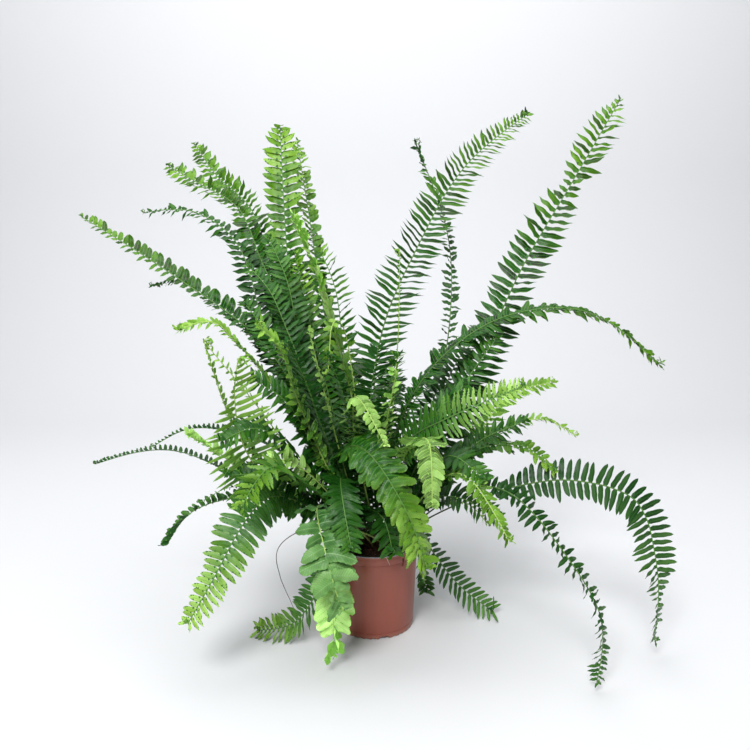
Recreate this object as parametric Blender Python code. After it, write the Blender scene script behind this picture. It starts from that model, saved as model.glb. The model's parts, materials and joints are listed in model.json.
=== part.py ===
"""A potted sword fern: a moulded nursery pot, its compost, the crown and every frond.

Metres, +Z up. The origin is the middle of the pot's base, +X is the fern's longest spread and
-Y is its front. Run with: blender --background --python part.py
"""

import math

import bmesh
import bpy
import numpy as np
from mathutils import Vector

MM = 0.001
CM = 0.01

# Pot: a 13 cm injection-moulded nursery pot
RIM_RADIUS = 65.0 * MM
FOOT_RADIUS = 57.5 * MM
POT_HEIGHT = 126.0 * MM
WALL = 1.6 * MM
BAND_HEIGHT = 14.0 * MM
BAND_STEP = 0.9 * MM
LIP_SHARE = 0.35
FOOT_WIDTH = 2.2 * MM
LINE_DEPTH = 0.4 * MM
FLOOR_BOTTOM = 3.0 * MM
FLOOR_TOP = 4.6 * MM
PAD_RADIUS = 18.0 * MM
TEETH = 36
TOOTH_SEGMENTS = 2
TOOTH_DEPTH = 2.6 * MM
LINE_HEIGHT = 8.0 * MM
SLOT_BEARINGS = (-50.0, 70.0, 190.0)
SLOT_SIZE = (3.0 * MM, 12.0 * MM)
SLOT_TOP = 118.0 * MM
DRAIN_HOLES = 8
DRAIN_RADIUS = 4.0 * MM
DRAIN_CIRCLE = 40.0 * MM

# Compost and crown
GAP = 0.35 * MM
SOIL_EDGE_HEIGHT = 113.0 * MM
SOIL_RISE = 3.0 * MM
SOIL_RINGS = 5
SOIL_SEGMENTS = 40
WELL_DEPTH = 6.0 * MM
CROWN_RADIUS = 29.0 * MM
CROWN_TOP = 127.0 * MM
CROWN_DOME = 7.0 * MM
CROWN_SEGMENTS = 24

# Fronds
STATIONS = 18
STEM_RADIUS = 1.25 * MM
STEM_CLEARANCE = 3.4 * MM
BLADE_THICKNESS = 0.9 * MM
TIP_HALF_WIDTH = 0.8 * MM
STIPE_SHARE = 0.2
WIDEST_SHARE = 0.5
BASE_LIFT = 1.9 * MM
FLOOR_CLEARANCE = 1.2 * MM
FOLD_SHARE = 0.7
RIDGE_SHARE = 0.7
KEEL_SHARE = 0.45
LEVEL_BIAS = 0.15
CURVE_STEPS = 40
NEAR_STEMS = 10.0 * CM
PARTING_ROUNDS = 60
SPREADING_ROUNDS = 400
BASE_SPACING = 5.4 * MM
BASE_RINGS = ((24.5 * MM, 1.15), (16.5 * MM, 0.5), (8.5 * MM, 0.0))

# Each frond: age, blade width in cm, turn of the blade at base and tip in degrees, then the
# route that its rachis follows, as (bearing in degrees, reach in cm, height in cm). Bearing 0
# is +X and 90 is the back. A positive turn rolls the upper face clockwise, seen from the base.
FRONDS = {
    "left": (
        ("mature", 5.6, -50, -45, (180, 17, 43), (176, 27, 50), (173, 42, 59)),
        ("young", 3.4, -40, -20, (189, 19, 42), (193, 22, 45), (195, 26, 44)),
        ("mature", 4.0, -30, -10, (168, 24, 47), (165, 30, 50), (164, 35, 49)),
        ("old", 6.0, -55, -30, (160, 17, 43), (156, 24, 57), (158, 29, 60), (161, 37, 60)),
        ("mature", 5.6, -50, -35, (149, 20, 53), (145, 26, 61), (146, 34, 65), (147, 40, 68)),
        ("mature", 5.6, -55, -50, (143, 20, 53), (139, 26, 61), (139, 35, 67), (139, 40, 72)),
        ("mature", 8.6, -60, -55, (155, 12, 35), (145, 16, 56), (144, 17, 72)),
        ("mature", 4.6, -20, 0, (135, 11, 47), (128, 16, 59), (125, 21, 71)),
        ("young", 5.0, -70, -40, (224, 7, 43), (223, 10, 51), (225, 14, 58)),
        ("mature", 6.6, -50, -40, (138, 6, 40), (126, 10, 49), (126, 17, 57)),
        ("young", 3.4, -60, -40, (205, 21, 34), (208, 23, 40), (210, 24, 43)),
        ("young", 7.4, -85, -70, (211, 20, 31), (215, 21, 38), (218, 21, 41)),
        ("old", 3.6, -12, -5, (189, 19, 23), (184, 28, 26.5), (180, 40, 24)),
        ("old", 3.4, -15, -5, (172, 21, 28), (170, 28, 28), (170, 34, 25)),
        ("lime", 5.0, -50, -30, (204, 19, 25), (205, 23, 29), (205, 26, 31)),
        ("old", 4.6, -10, 0, (197, 20, 21), (201, 26, 20), (200, 29, 16)),
        ("mature", 7.6, -15, 10, (213, 17, 22), (221, 22, 20), (221, 26, 14.5), (219, 29, 9.5)),
        ("mature", 4.2, -20, -10, (230, 6.5, 14.5), (224, 10, 9), (207, 13, 2.5), (195, 17, 0.7)),
        ("old", 7.6, -40, -30, (180, 12, 43), (173, 15, 49), (170, 18, 52)),
        ("old", 7.6, -45, -35, (169, 11, 42), (163, 13, 50), (161, 16, 56)),
        ("young", 6.0, -60, -40, (211, 12, 35), (216, 15, 42), (218, 18, 45)),
        ("old", 7.0, -50, -30, (212, 13, 28), (216, 19, 32), (216, 23, 31)),
    ),
    "front": (
        ("pale", 8.0, 0, 10, (232, 12, 21), (249, 17, 18), (257, 18, 11)),
        ("lime", 5.6, 30, 20, (238, 9, 17), (250, 15, 8), (248, 14, 1.5)),
        ("old", 7.0, -30, 0, (237, 8, 24), (254, 14, 23), (260, 16, 18)),
        ("mature", 9.0, 25, 0, (223, 6, 27), (262, 10, 29), (286, 15, 22), (294, 16, 15)),
        ("lime", 6.0, 0, 0, (301, 9, 28), (298, 14, 31), (293, 18, 24)),
        ("lime", 4.0, 20, 40, (282, 6, 27), (282, 10, 35), (285, 11, 39)),
        ("lime", 4.4, 0, 20, (250, 8, 33), (258, 11, 36), (275, 15, 31)),
        ("old", 7.0, 0, 0, (260, 5, 19), (278, 8, 19), (284, 10, 15)),
        ("old", 7.0, -20, -10, (224, 10, 32), (230, 14, 39), (232, 17, 43)),
        ("mature", 7.0, -30, -10, (226, 14, 25), (230, 20, 28), (229, 24, 24)),
        ("old", 7.0, 0, 0, (265, 5, 30), (268, 8, 37), (273, 10, 42)),
    ),
    "right": (
        ("mature", 9.6, 45, 50, (63, 4, 45), (53, 10, 54), (43, 19, 67), (36, 29, 75)),
        ("old", 4.0, 20, 20, (40, 15, 43), (52, 19, 56), (70, 19, 71)),
        ("mature", 8.0, 75, 60, (12, 15, 37), (13, 22, 52), (12, 29, 64), (10, 35, 75)),
        ("mature", 4.6, 30, 10, (0, 10, 40), (3, 18, 45), (0, 29, 46), (357, 39, 39)),
        ("young", 5.6, 45, 30, (7, 16, 29), (12, 20, 33), (11, 27, 35)),
        ("mature", 7.0, 45, 45, (305, 9, 30), (309, 14, 33), (322, 23, 38)),
        ("young", 4.6, 30, 10, (356, 16, 28), (355, 24, 31), (354, 28, 29)),
        ("mature", 4.6, 30, 20, (347, 18, 28), (346, 21, 28), (345, 25, 25)),
        ("old", 6.0, 35, 30, (345, 19, 22), (344, 28, 24), (344, 35.5, 22), (343, 38.5, 14), (344, 39, 3)),
        ("old", 4.8, 15, 20, (324, 21, 24), (325, 29, 17), (327, 33, 10), (327, 33, 1.6)),
        ("young", 4.6, 20, 10, (312, 18, 26), (311, 22, 23), (312, 24, 20)),
        ("old", 4.6, 30, 20, (24, 6.5, 14.5), (19, 9, 10), (8, 13, 4.5), (2, 17.5, 1.2)),
        ("old", 7.0, 60, 40, (17, 10, 33), (23, 15, 40), (25, 21, 42)),
        ("old", 7.0, 40, 30, (332, 6, 27), (331, 10, 33), (331, 14, 37)),
        ("old", 6.6, 30, 20, (322, 10, 25), (316, 14, 28), (316, 19, 26)),
    ),
    "back": (
        ("old", 7.0, 20, 10, (49, 16, 26), (48, 27, 25), (46, 35, 19)),
        ("mature", 7.0, 10, 0, (62, 14, 31), (63, 25, 31), (62, 34, 24)),
        ("old", 7.0, 0, 0, (82, 13, 31), (83, 24, 32), (82, 33, 26)),
        ("mature", 7.0, 0, 0, (101, 12, 33), (100, 22, 35), (100, 31, 30)),
        ("old", 7.0, -10, 0, (123, 14, 34), (120, 23, 38), (120, 32, 34)),
    ),
}

# Finishes: colour and roughness
SMOOTH_ANGLE = math.radians(35)
FINISHES = {
    "pot": ((0.235, 0.055, 0.032), 0.42),
    "soil": ((0.016, 0.010, 0.007), 0.95),
    "crown": ((0.050, 0.026, 0.012), 0.85),
    "root": ((0.150, 0.085, 0.040), 0.80),
    "old": ((0.010, 0.062, 0.014), 0.50),
    "mature": ((0.030, 0.140, 0.022), 0.48),
    "young": ((0.110, 0.290, 0.035), 0.48),
    "lime": ((0.330, 0.520, 0.060), 0.50),
    "pale": ((0.140, 0.270, 0.110), 0.55),
}

# Thin runner and roots: radius in mm, then (x, y, z) points in cm along each one
STRANDS = {
    "runner": (0.7, ((-2.9, -0.9, 12.9), (-6.5, -3.0, 15.0), (-10.5, -3.5, 15.2), (-13.6, -3.8, 12.6),
                     (-13.4, -3.5, 8.6), (-12.0, -3.0, 4.4), (-10.9, -2.6, 1.2))),
    "root_front": (0.55, ((1.0, -4.6, 12.2), (1.3, -5.9, 12.9), (1.7, -6.75, 12.75), (2.2, -6.8, 11.6))),
    "root_side": (0.55, ((3.0, -3.9, 12.2), (4.0, -4.7, 12.9), (4.75, -5.3, 12.75), (4.5, -5.4, 11.2))),
}


def clear_scene():
    """Start from an empty scene."""
    for item in list(bpy.data.objects):
        bpy.data.objects.remove(item, do_unlink=True)


def finish(name):
    """The finish of that name as a Principled material, made once."""
    if name in bpy.data.materials:
        return bpy.data.materials[name]
    colour, roughness = FINISHES[name]
    material = bpy.data.materials.new(name)
    material.use_nodes = True
    shader = material.node_tree.nodes["Principled BSDF"]
    shader.inputs["Base Color"].default_value = (*colour, 1.0)
    shader.inputs["Roughness"].default_value = roughness
    shader.inputs["Metallic"].default_value = 0.0
    return material


def add_object(name, vertices, faces, finish_name):
    """A named object from vertices and faces, smooth apart from its real edges."""
    mesh = bpy.data.meshes.new(name)
    mesh.from_pydata([tuple(map(float, v)) for v in vertices], [], faces)
    mesh.validate()
    mesh.shade_smooth()
    mesh.set_sharp_from_angle(angle=SMOOTH_ANGLE)
    mesh.materials.append(finish(finish_name))
    item = bpy.data.objects.new(name, mesh)
    bpy.context.collection.objects.link(item)
    return item


def recalculate(item):
    """Turn every face of a closed mesh outwards."""
    work = bmesh.new()
    work.from_mesh(item.data)
    bmesh.ops.recalc_face_normals(work, faces=work.faces)
    work.to_mesh(item.data)
    work.free()


def ring_faces(rings, count):
    """Quads that join each ring of count vertices to the next one."""
    faces = []
    for ring in range(rings - 1):
        for k in range(count):
            a = ring * count + k
            b = ring * count + (k + 1) % count
            faces.append((a, b, b + count, a + count))
    return faces


def turned(name, profile, segments, finish_name, shape=None):
    """A solid turned from an open (radius, height) profile, each end closed by a flat disc.

    shape(radius, height, bearing) may move a point of the profile, and returns it.
    """
    vertices = []
    for radius, height in profile:
        for k in range(segments):
            bearing = math.tau * k / segments
            r, z = shape(radius, height, bearing) if shape else (radius, height)
            vertices.append((r * math.cos(bearing), r * math.sin(bearing), z))
    faces = ring_faces(len(profile), segments)
    faces.append(tuple(range(segments)))
    last = (len(profile) - 1) * segments
    faces.append(tuple(last + k for k in range(segments)))
    item = add_object(name, vertices, faces, finish_name)
    recalculate(item)
    return item


def wall_radius(height):
    """Outer radius of the pot's tapered wall at a height."""
    return FOOT_RADIUS + (RIM_RADIUS - 2 * BAND_STEP - FOOT_RADIUS) * height / POT_HEIGHT


def tooth_height(bearing):
    """How far the scalloped foot is cut away at a bearing: deep between its rounded teeth."""
    phase = (bearing * TEETH / math.tau) % 1.0
    return TOOTH_DEPTH * (0.5 + 0.5 * math.cos(math.tau * phase)) ** 0.7


def cut(item, cutters):
    """Cut closed cutters out of an item, and keep them out of the build."""
    for cutter in cutters:
        cutter.hide_render = True
        cutter.display_type = "WIRE"
        modifier = item.modifiers.new(cutter.name, "BOOLEAN")
        modifier.object = cutter
        modifier.operation = "DIFFERENCE"


def block(name, size, centre, bearing):
    """A box cutter turned to a bearing."""
    mesh = bpy.data.meshes.new(name)
    work = bmesh.new()
    bmesh.ops.create_cube(work, size=1.0)
    bmesh.ops.scale(work, vec=size, verts=work.verts)
    work.to_mesh(mesh)
    work.free()
    item = bpy.data.objects.new(name, mesh)
    bpy.context.collection.objects.link(item)
    item.location = centre
    item.rotation_euler[2] = bearing
    return item


def drain_drill(index):
    """A round cutter for one drain hole."""
    bearing = math.tau * index / DRAIN_HOLES
    mesh = bpy.data.meshes.new(f"drain_drill_{index + 1}")
    work = bmesh.new()
    bmesh.ops.create_cone(work, cap_ends=True, segments=12, radius1=DRAIN_RADIUS, radius2=DRAIN_RADIUS,
                          depth=4 * (FLOOR_TOP - FLOOR_BOTTOM))
    work.to_mesh(mesh)
    work.free()
    item = bpy.data.objects.new(mesh.name, mesh)
    bpy.context.collection.objects.link(item)
    item.location = (DRAIN_CIRCLE * math.cos(bearing), DRAIN_CIRCLE * math.sin(bearing), FLOOR_BOTTOM)
    return item


def build_pot():
    """The pot: scalloped foot, tapered wall, stepped rim band, slots for a hanger, drain holes."""
    band = POT_HEIGHT - BAND_HEIGHT
    mid_band = POT_HEIGHT - LIP_SHARE * BAND_HEIGHT
    profile = [
        (PAD_RADIUS, 0.0),
        (PAD_RADIUS + MM, FLOOR_BOTTOM),
        (FOOT_RADIUS - FOOT_WIDTH - MM, FLOOR_BOTTOM),
        (FOOT_RADIUS - FOOT_WIDTH, 0.0),
        (FOOT_RADIUS, 0.0),
        (wall_radius(LINE_HEIGHT), LINE_HEIGHT),
        (wall_radius(LINE_HEIGHT) - LINE_DEPTH, LINE_HEIGHT + 0.6 * MM),
        (wall_radius(LINE_HEIGHT + MM), LINE_HEIGHT + 1.4 * MM),
        (wall_radius(band), band),
        (wall_radius(band) + BAND_STEP, band + 0.6 * MM),
        (wall_radius(mid_band) + BAND_STEP, mid_band),
        (RIM_RADIUS - 0.4 * MM, mid_band + MM),
        (RIM_RADIUS, POT_HEIGHT - MM),
        (RIM_RADIUS - 0.7 * MM, POT_HEIGHT),
        (RIM_RADIUS - WALL - 0.6 * MM, POT_HEIGHT),
        (RIM_RADIUS - WALL - 1.1 * MM, POT_HEIGHT - MM),
        (wall_radius(band) - WALL, band),
        (wall_radius(FLOOR_TOP) - WALL, FLOOR_TOP + 1.5 * MM),
        (wall_radius(FLOOR_TOP) - WALL - 1.5 * MM, FLOOR_TOP),
    ]

    def scallop(radius, height, bearing):
        if height == 0.0 and radius > PAD_RADIUS:
            return radius, tooth_height(bearing)
        return radius, height

    pot = turned("pot", profile, TEETH * TOOTH_SEGMENTS, "pot", scallop)
    cutters = [drain_drill(i) for i in range(DRAIN_HOLES)]
    for number, degrees in enumerate(SLOT_BEARINGS, 1):
        bearing = math.radians(degrees)
        centre = (RIM_RADIUS * math.cos(bearing), RIM_RADIUS * math.sin(bearing), SLOT_TOP - SLOT_SIZE[1] / 2)
        cutters.append(block(f"slot_cutter_{number}", (4 * WALL + 2 * MM, *SLOT_SIZE), centre, bearing))
    cut(pot, cutters)
    return pot


def soil_height(radius, bearing):
    """The compost's surface: a low mound with uneven lumps."""
    share = radius / RIM_RADIUS
    lumps = 0.8 * math.sin(5 * bearing + 9 * share) + 0.6 * math.sin(11 * bearing - 14 * share)
    return SOIL_EDGE_HEIGHT + SOIL_RISE * (1.0 - share * share) + lumps * MM * share


def build_soil():
    """The block of compost that fills the pot, with a well where the crown sits."""
    top_radius = wall_radius(POT_HEIGHT - BAND_HEIGHT) - WALL - GAP
    bottom_radius = wall_radius(FLOOR_TOP) - WALL - 1.5 * MM - GAP
    well_radius = CROWN_RADIUS + GAP
    well_floor = SOIL_EDGE_HEIGHT - WELL_DEPTH
    steps = [top_radius + (well_radius - top_radius) * k / (SOIL_RINGS - 1) for k in range(SOIL_RINGS)]
    profile = [(bottom_radius, FLOOR_TOP + GAP), (bottom_radius + 1.5 * MM, FLOOR_TOP + 1.5 * MM + GAP)]
    profile += [(radius, SOIL_EDGE_HEIGHT) for radius in steps]
    profile.append((well_radius, well_floor))

    def mound(radius, height, bearing):
        if height == SOIL_EDGE_HEIGHT:
            return radius, soil_height(radius, bearing)
        return radius, height

    return turned("soil", profile, SOIL_SEGMENTS, "soil", mound)


def crown_height(radius):
    """The crown's domed top."""
    return CROWN_TOP - CROWN_DOME * (radius / CROWN_RADIUS) ** 2


def build_crown():
    """The short woody crown that all the fronds grow from."""
    floor = SOIL_EDGE_HEIGHT - WELL_DEPTH + GAP
    radii = [CROWN_RADIUS * share for share in (1.0, 0.85, 0.6, 0.3)]
    profile = [(CROWN_RADIUS - 2.2 * MM, floor), (CROWN_RADIUS, floor + 4 * MM)]
    profile += [(radius, crown_height(radius)) for radius in radii]

    def knobbly(radius, height, bearing):
        if radius < CROWN_RADIUS * 0.98:
            return radius, height
        return radius * (0.97 + 0.025 * math.sin(7 * bearing)), height

    return turned("crown", profile, CROWN_SEGMENTS, "crown", knobbly)


def smooth_curve(points, start, count):
    """count points evenly spaced along a smooth curve through points that leaves along start."""
    points = np.asarray(points, float)
    lengths = np.linalg.norm(np.diff(points, axis=0), axis=1)
    slopes = np.diff(points, axis=0) / lengths[:, None]
    tangents = np.empty_like(points)
    tangents[0] = start / np.linalg.norm(start)
    for k in range(1, len(points) - 1):
        share = lengths[k - 1] / (lengths[k - 1] + lengths[k])
        tangents[k] = slopes[k - 1] * (1 - share) + slopes[k] * share
    tangents[-1] = 1.5 * slopes[-1] - 0.5 * tangents[-2]
    dense = []
    for k, length in enumerate(lengths):
        for t in np.linspace(0, 1, CURVE_STEPS, endpoint=False):
            dense.append((2 * t**3 - 3 * t**2 + 1) * points[k] + (t**3 - 2 * t**2 + t) * length * tangents[k]
                         + (3 * t**2 - 2 * t**3) * points[k + 1] + (t**3 - t**2) * length * tangents[k + 1])
    dense.append(points[-1])
    dense = np.array(dense)
    along = np.concatenate([[0], np.cumsum(np.linalg.norm(np.diff(dense, axis=0), axis=1))])
    wanted = np.linspace(0, along[-1], count)
    return np.stack([np.interp(wanted, along, dense[:, axis]) for axis in range(3)], axis=1)


def outward(bearing):
    """The level unit vector at a bearing in degrees."""
    angle = math.radians(bearing)
    return np.array((math.cos(angle), math.sin(angle), 0.0))


def spread_bearings(bearings, spacing):
    """Move bearings on one ring apart, to at least spacing degrees."""
    order = np.argsort(bearings)
    spread = np.array(bearings, float)[order]
    for _ in range(SPREADING_ROUNDS):
        steps = np.diff(np.append(spread, spread[0] + 360))
        short = np.clip(spacing - steps, 0, None) / 2
        spread += np.roll(short, 1) - short
    result = np.empty_like(spread)
    result[order] = spread
    return result


def base_points(rows):
    """Where each frond leaves the crown: the lowest ones outside, the steepest in the middle."""
    bearings = np.array([row[4][0] % 360 for row in rows], float)
    lean = np.array([row[4][1] / (row[4][2] - CROWN_TOP / CM + 4) for row in rows])
    order = np.argsort(-lean)
    capacity = [int(math.tau * radius / BASE_SPACING) for radius, _ in BASE_RINGS]
    bases = np.empty((len(rows), 3))
    starts = np.empty((len(rows), 3))
    first = 0
    for (radius, tilt), room in zip(BASE_RINGS, capacity):
        members = order[first:first + room]
        first += room
        if len(members) == 0:
            continue
        spacing = 360.0 / room
        for index, bearing in zip(members, spread_bearings(bearings[members], spacing)):
            bases[index] = outward(bearing) * radius + np.array((0, 0, crown_height(radius) + BASE_LIFT))
            starts[index] = outward(bearing) * tilt + np.array((0, 0, 1.0))
    return bases, starts


def segment_gaps(paths):
    """Distances between the straight stretches of different fronds, and where they are closest."""
    a = paths[:, :-1].reshape(-1, 3)
    d = np.diff(paths, axis=1).reshape(-1, 3)
    owner = np.repeat(np.arange(len(paths)), paths.shape[1] - 1)
    i, j = np.nonzero(owner[:, None] < owner[None, :])
    middle = a + d / 2
    half = np.linalg.norm(d, axis=1) / 2
    near = np.linalg.norm(middle[i] - middle[j], axis=1) - half[i] - half[j] < NEAR_STEMS
    i, j = i[near], j[near]
    r = a[i] - a[j]
    aa = (d[i] * d[i]).sum(1)
    bb = (d[j] * d[j]).sum(1)
    ab = (d[i] * d[j]).sum(1)
    ra = (d[i] * r).sum(1)
    rb = (d[j] * r).sum(1)
    s = np.clip((ab * rb - bb * ra) / np.maximum(aa * bb - ab * ab, 1e-12), 0, 1)
    t = np.clip((ab * s + rb) / bb, 0, 1)
    s = np.clip((ab * t - ra) / aa, 0, 1)
    apart = (a[i] + d[i] * s[:, None]) - (a[j] + d[j] * t[:, None])
    return i, j, s, t, apart, np.linalg.norm(apart, axis=1)


def part_stems(paths):
    """Lean crossing rachises apart until none is closer than the stem clearance."""
    steps = paths.shape[1] - 1
    for _ in range(PARTING_ROUNDS):
        i, j, s, t, apart, distance = segment_gaps(paths)
        close = distance < STEM_CLEARANCE
        if not close.any():
            break
        push = np.zeros_like(paths)
        for k in np.nonzero(close)[0]:
            short = STEM_CLEARANCE * 1.1 - distance[k]
            step = apart[k] / max(distance[k], 1e-6) * short / 2
            for stretch, share, move in ((i[k], s[k], step), (j[k], t[k], -step)):
                frond, station = divmod(stretch, steps)
                push[frond, station] += move * (1 - share)
                push[frond, station + 1] += move * share
        push[:, 0] = 0
        paths = paths + push
    return paths


def outline(share):
    """Half-width of a blade along its frond, as a share of its widest."""
    if share < STIPE_SHARE:
        return 0.0
    if share < WIDEST_SHARE:
        return math.sin(0.5 * math.pi * (share - STIPE_SHARE) / (WIDEST_SHARE - STIPE_SHARE)) ** 0.6
    return 1.0 - 0.86 * ((share - WIDEST_SHARE) / (1 - WIDEST_SHARE)) ** 1.7


def wanted_widths(rows):
    """The half-width of every frond at every station, where nothing is in its way."""
    shares = np.linspace(0, 1, STATIONS)
    shape = np.array([outline(share) for share in shares])
    widths = np.array([[row[1] * CM / 2] for row in rows]) * shape[None, :]
    return np.maximum(widths, np.where(shares < 0.9, STEM_RADIUS, TIP_HALF_WIDTH)[None, :])


def clear_widths(paths, widths):
    """Narrow the blades where fronds pass each other or the pot, so that no two solids touch."""
    steps = paths.shape[1] - 1
    i, j, _, _, _, distance = segment_gaps(paths)
    reach = np.maximum(widths[:, :-1], widths[:, 1:]).reshape(-1)
    room = np.full(reach.shape, 1.0)
    free = distance - GAP
    np.minimum.at(room, i, np.maximum(free / 2, free - reach[j]))
    np.minimum.at(room, j, np.maximum(free / 2, free - reach[i]))
    room = room.reshape(len(paths), steps)
    limit = np.full(widths.shape, 1.0)
    limit[:, :-1] = np.minimum(limit[:, :-1], room)
    limit[:, 1:] = np.minimum(limit[:, 1:], room)
    radial = np.hypot(paths[..., 0], paths[..., 1]) - RIM_RADIUS
    above = paths[..., 2] - CROWN_TOP
    to_pot = np.hypot(np.maximum(radial, 0), np.maximum(above, 0)) - 2 * GAP
    return np.maximum(np.minimum(widths, np.minimum(limit, to_pot)), TIP_HALF_WIDTH)


def blade_frames(path, turn_base, turn_tip):
    """The sideways and upward directions of the blade at each station."""
    tangents = np.gradient(path, axis=0)
    tangents /= np.linalg.norm(tangents, axis=1)[:, None]
    level = np.cross((0.0, 0.0, 1.0), tangents)
    away = np.cross((0.0, 0.0, 1.0), path[-1] - path[0])
    away /= np.linalg.norm(away)
    level += LEVEL_BIAS * away
    level -= (level * tangents).sum(1)[:, None] * tangents
    level /= np.linalg.norm(level, axis=1)[:, None]
    upper = np.cross(tangents, level)
    turn = np.radians(np.linspace(turn_base, turn_tip, len(path)))[:, None]
    return np.cos(turn) * level + np.sin(turn) * upper, np.cos(turn) * upper - np.sin(turn) * level


def unfolded_widths(path, widths, sideways):
    """Narrow a blade where it bends towards one edge so tightly that the edge would fold."""
    steps = np.linalg.norm(np.diff(path, axis=0), axis=1)
    tangents = np.gradient(path, axis=0)
    tangents /= np.linalg.norm(tangents, axis=1)[:, None]
    bends = np.abs((np.gradient(tangents, axis=0) * sideways).sum(1)) / steps.mean()
    return np.maximum(np.minimum(widths, FOLD_SHARE / np.maximum(bends, 1e-6)), TIP_HALF_WIDTH)


def blade_faces(stations):
    """Triangles between a blade's rings, cut alike above and below so that its walls never cross."""
    faces = []
    for near in range(0, 4 * (stations - 1), 4):
        far = near + 4
        for edge in (0, 2):
            for middle in (1, 3):
                faces.append((near + edge, near + middle, far + middle))
                faces.append((near + edge, far + middle, far + edge))
    return faces


def build_frond(name, age, path, widths, sideways, upper):
    """One frond as a thin blade with a raised midrib, round at its stalk."""
    vertices = []
    for point, width, side, up in zip(path, widths, sideways, upper):
        sag = abs(side[2])
        if sag > 0.05:
            width = max(min(width, (point[2] - FLOOR_CLEARANCE) / sag), TIP_HALF_WIDTH)
        ridge = min(width, BLADE_THICKNESS * RIDGE_SHARE)
        keel = min(width, BLADE_THICKNESS * KEEL_SHARE)
        vertices += [point - side * width, point + up * ridge, point + side * width, point - up * keel]
    faces = blade_faces(len(path))
    faces.append((0, 1, 2, 3))
    last = 4 * (len(path) - 1)
    faces.append((last + 3, last + 2, last + 1, last))
    item = add_object(name, vertices, faces, age)
    recalculate(item)
    return item


def frond_path(row, base, start):
    """The line that a frond's rachis follows, out of the crown and through its route."""
    points = [base]
    for bearing, reach, height in row[4:]:
        points.append(outward(bearing) * reach * CM + np.array((0, 0, height * CM)))
    return smooth_curve(points, start, STATIONS)


def build_fronds():
    """Every frond, leaned clear of its neighbours."""
    names = []
    rows = []
    for sector, members in FRONDS.items():
        for number, row in enumerate(members, 1):
            names.append(f"frond_{sector}_{number:02d}")
            rows.append(row)
    bases, starts = base_points(rows)
    paths = np.array([frond_path(row, base, start) for row, base, start in zip(rows, bases, starts)])
    paths = part_stems(paths)
    widths = clear_widths(paths, wanted_widths(rows))
    for name, row, path, width in zip(names, rows, paths, widths):
        sideways, upper = blade_frames(path, row[2], row[3])
        build_frond(name, row[0], path, unfolded_widths(path, width, sideways), sideways, upper)


def build_strand(name, radius, points):
    """A runner or root: a thin round strand along a smooth curve."""
    start = Vector(points[1]) - Vector(points[0])
    path = smooth_curve(np.array(points) * CM, np.array(start), 4 * len(points))
    curve = bpy.data.curves.new(name, "CURVE")
    curve.dimensions = "3D"
    spline = curve.splines.new("POLY")
    spline.points.add(len(path) - 1)
    for target, point in zip(spline.points, path):
        target.co = (*point, 1.0)
    curve.bevel_depth = radius * MM
    curve.bevel_resolution = 1
    curve.use_fill_caps = True
    curve.materials.append(finish("root"))
    item = bpy.data.objects.new(name, curve)
    bpy.context.collection.objects.link(item)
    return item


def main():
    """Build the fern from its pot upwards."""
    clear_scene()
    build_pot()
    build_soil()
    build_crown()
    build_fronds()
    for name, (radius, points) in STRANDS.items():
        build_strand(name, radius, points)


main()
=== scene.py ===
"""A potted sword fern: the finished plant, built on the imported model's fixed frame.

Every frond follows the route of its own solid in the frame. Its leaflets are set along the
rachis by one Geometry Nodes tree, and the pot, compost, crown, runner and roots are modelled
pieces. Metres, +Z up, the origin in the middle of the pot's base, -Y the front.
"""

import json
import logging
import math
from collections.abc import Callable
from dataclasses import dataclass, field
from enum import Enum

import bmesh
import bpy
import numpy as np
from mathutils import Matrix, Vector, noise

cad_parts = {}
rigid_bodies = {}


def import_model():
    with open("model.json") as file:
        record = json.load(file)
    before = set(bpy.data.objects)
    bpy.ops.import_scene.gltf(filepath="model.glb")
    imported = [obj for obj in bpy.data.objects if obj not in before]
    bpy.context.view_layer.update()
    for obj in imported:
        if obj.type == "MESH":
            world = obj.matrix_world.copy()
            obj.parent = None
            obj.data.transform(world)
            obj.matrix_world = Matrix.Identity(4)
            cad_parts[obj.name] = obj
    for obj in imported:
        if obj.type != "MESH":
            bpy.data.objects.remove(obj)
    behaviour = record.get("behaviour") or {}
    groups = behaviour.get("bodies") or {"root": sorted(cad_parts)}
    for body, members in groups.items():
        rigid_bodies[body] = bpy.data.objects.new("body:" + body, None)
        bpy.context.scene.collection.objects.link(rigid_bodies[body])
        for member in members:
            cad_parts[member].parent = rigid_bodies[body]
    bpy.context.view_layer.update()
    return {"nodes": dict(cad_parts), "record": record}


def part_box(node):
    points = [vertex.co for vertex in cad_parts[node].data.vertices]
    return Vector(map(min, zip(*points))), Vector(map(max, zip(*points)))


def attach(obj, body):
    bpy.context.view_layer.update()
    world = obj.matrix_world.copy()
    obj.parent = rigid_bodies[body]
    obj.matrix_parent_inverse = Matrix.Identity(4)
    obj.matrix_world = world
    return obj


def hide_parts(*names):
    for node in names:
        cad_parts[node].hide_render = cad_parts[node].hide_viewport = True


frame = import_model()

MM = 0.001
CM = 0.01
BODY = "root"
LOG = logging.getLogger("potted_fern")


# ---------------------------------------------------------------------------------------------
# Small tools
# ---------------------------------------------------------------------------------------------


def linear(hex_colour: str) -> tuple[float, float, float, float]:
    """Turn an sRGB hex colour into linear light.

    Args:
        hex_colour: A colour such as "#3d6a2c".

    Returns:
        Red, green, blue and an alpha of 1.
    """
    parts = [int(hex_colour[k:k + 2], 16) / 255 for k in (1, 3, 5)]
    lit = [p / 12.92 if p <= 0.04045 else ((p + 0.055) / 1.055) ** 2.4 for p in parts]
    return (*lit, 1.0)


def live_output(node: bpy.types.Node, name: str = "") -> bpy.types.NodeSocket:
    """The first output that the node's settings leave on, or the one of that name."""
    return next(s for s in node.outputs if s.enabled and name in ("", s.name))


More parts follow.
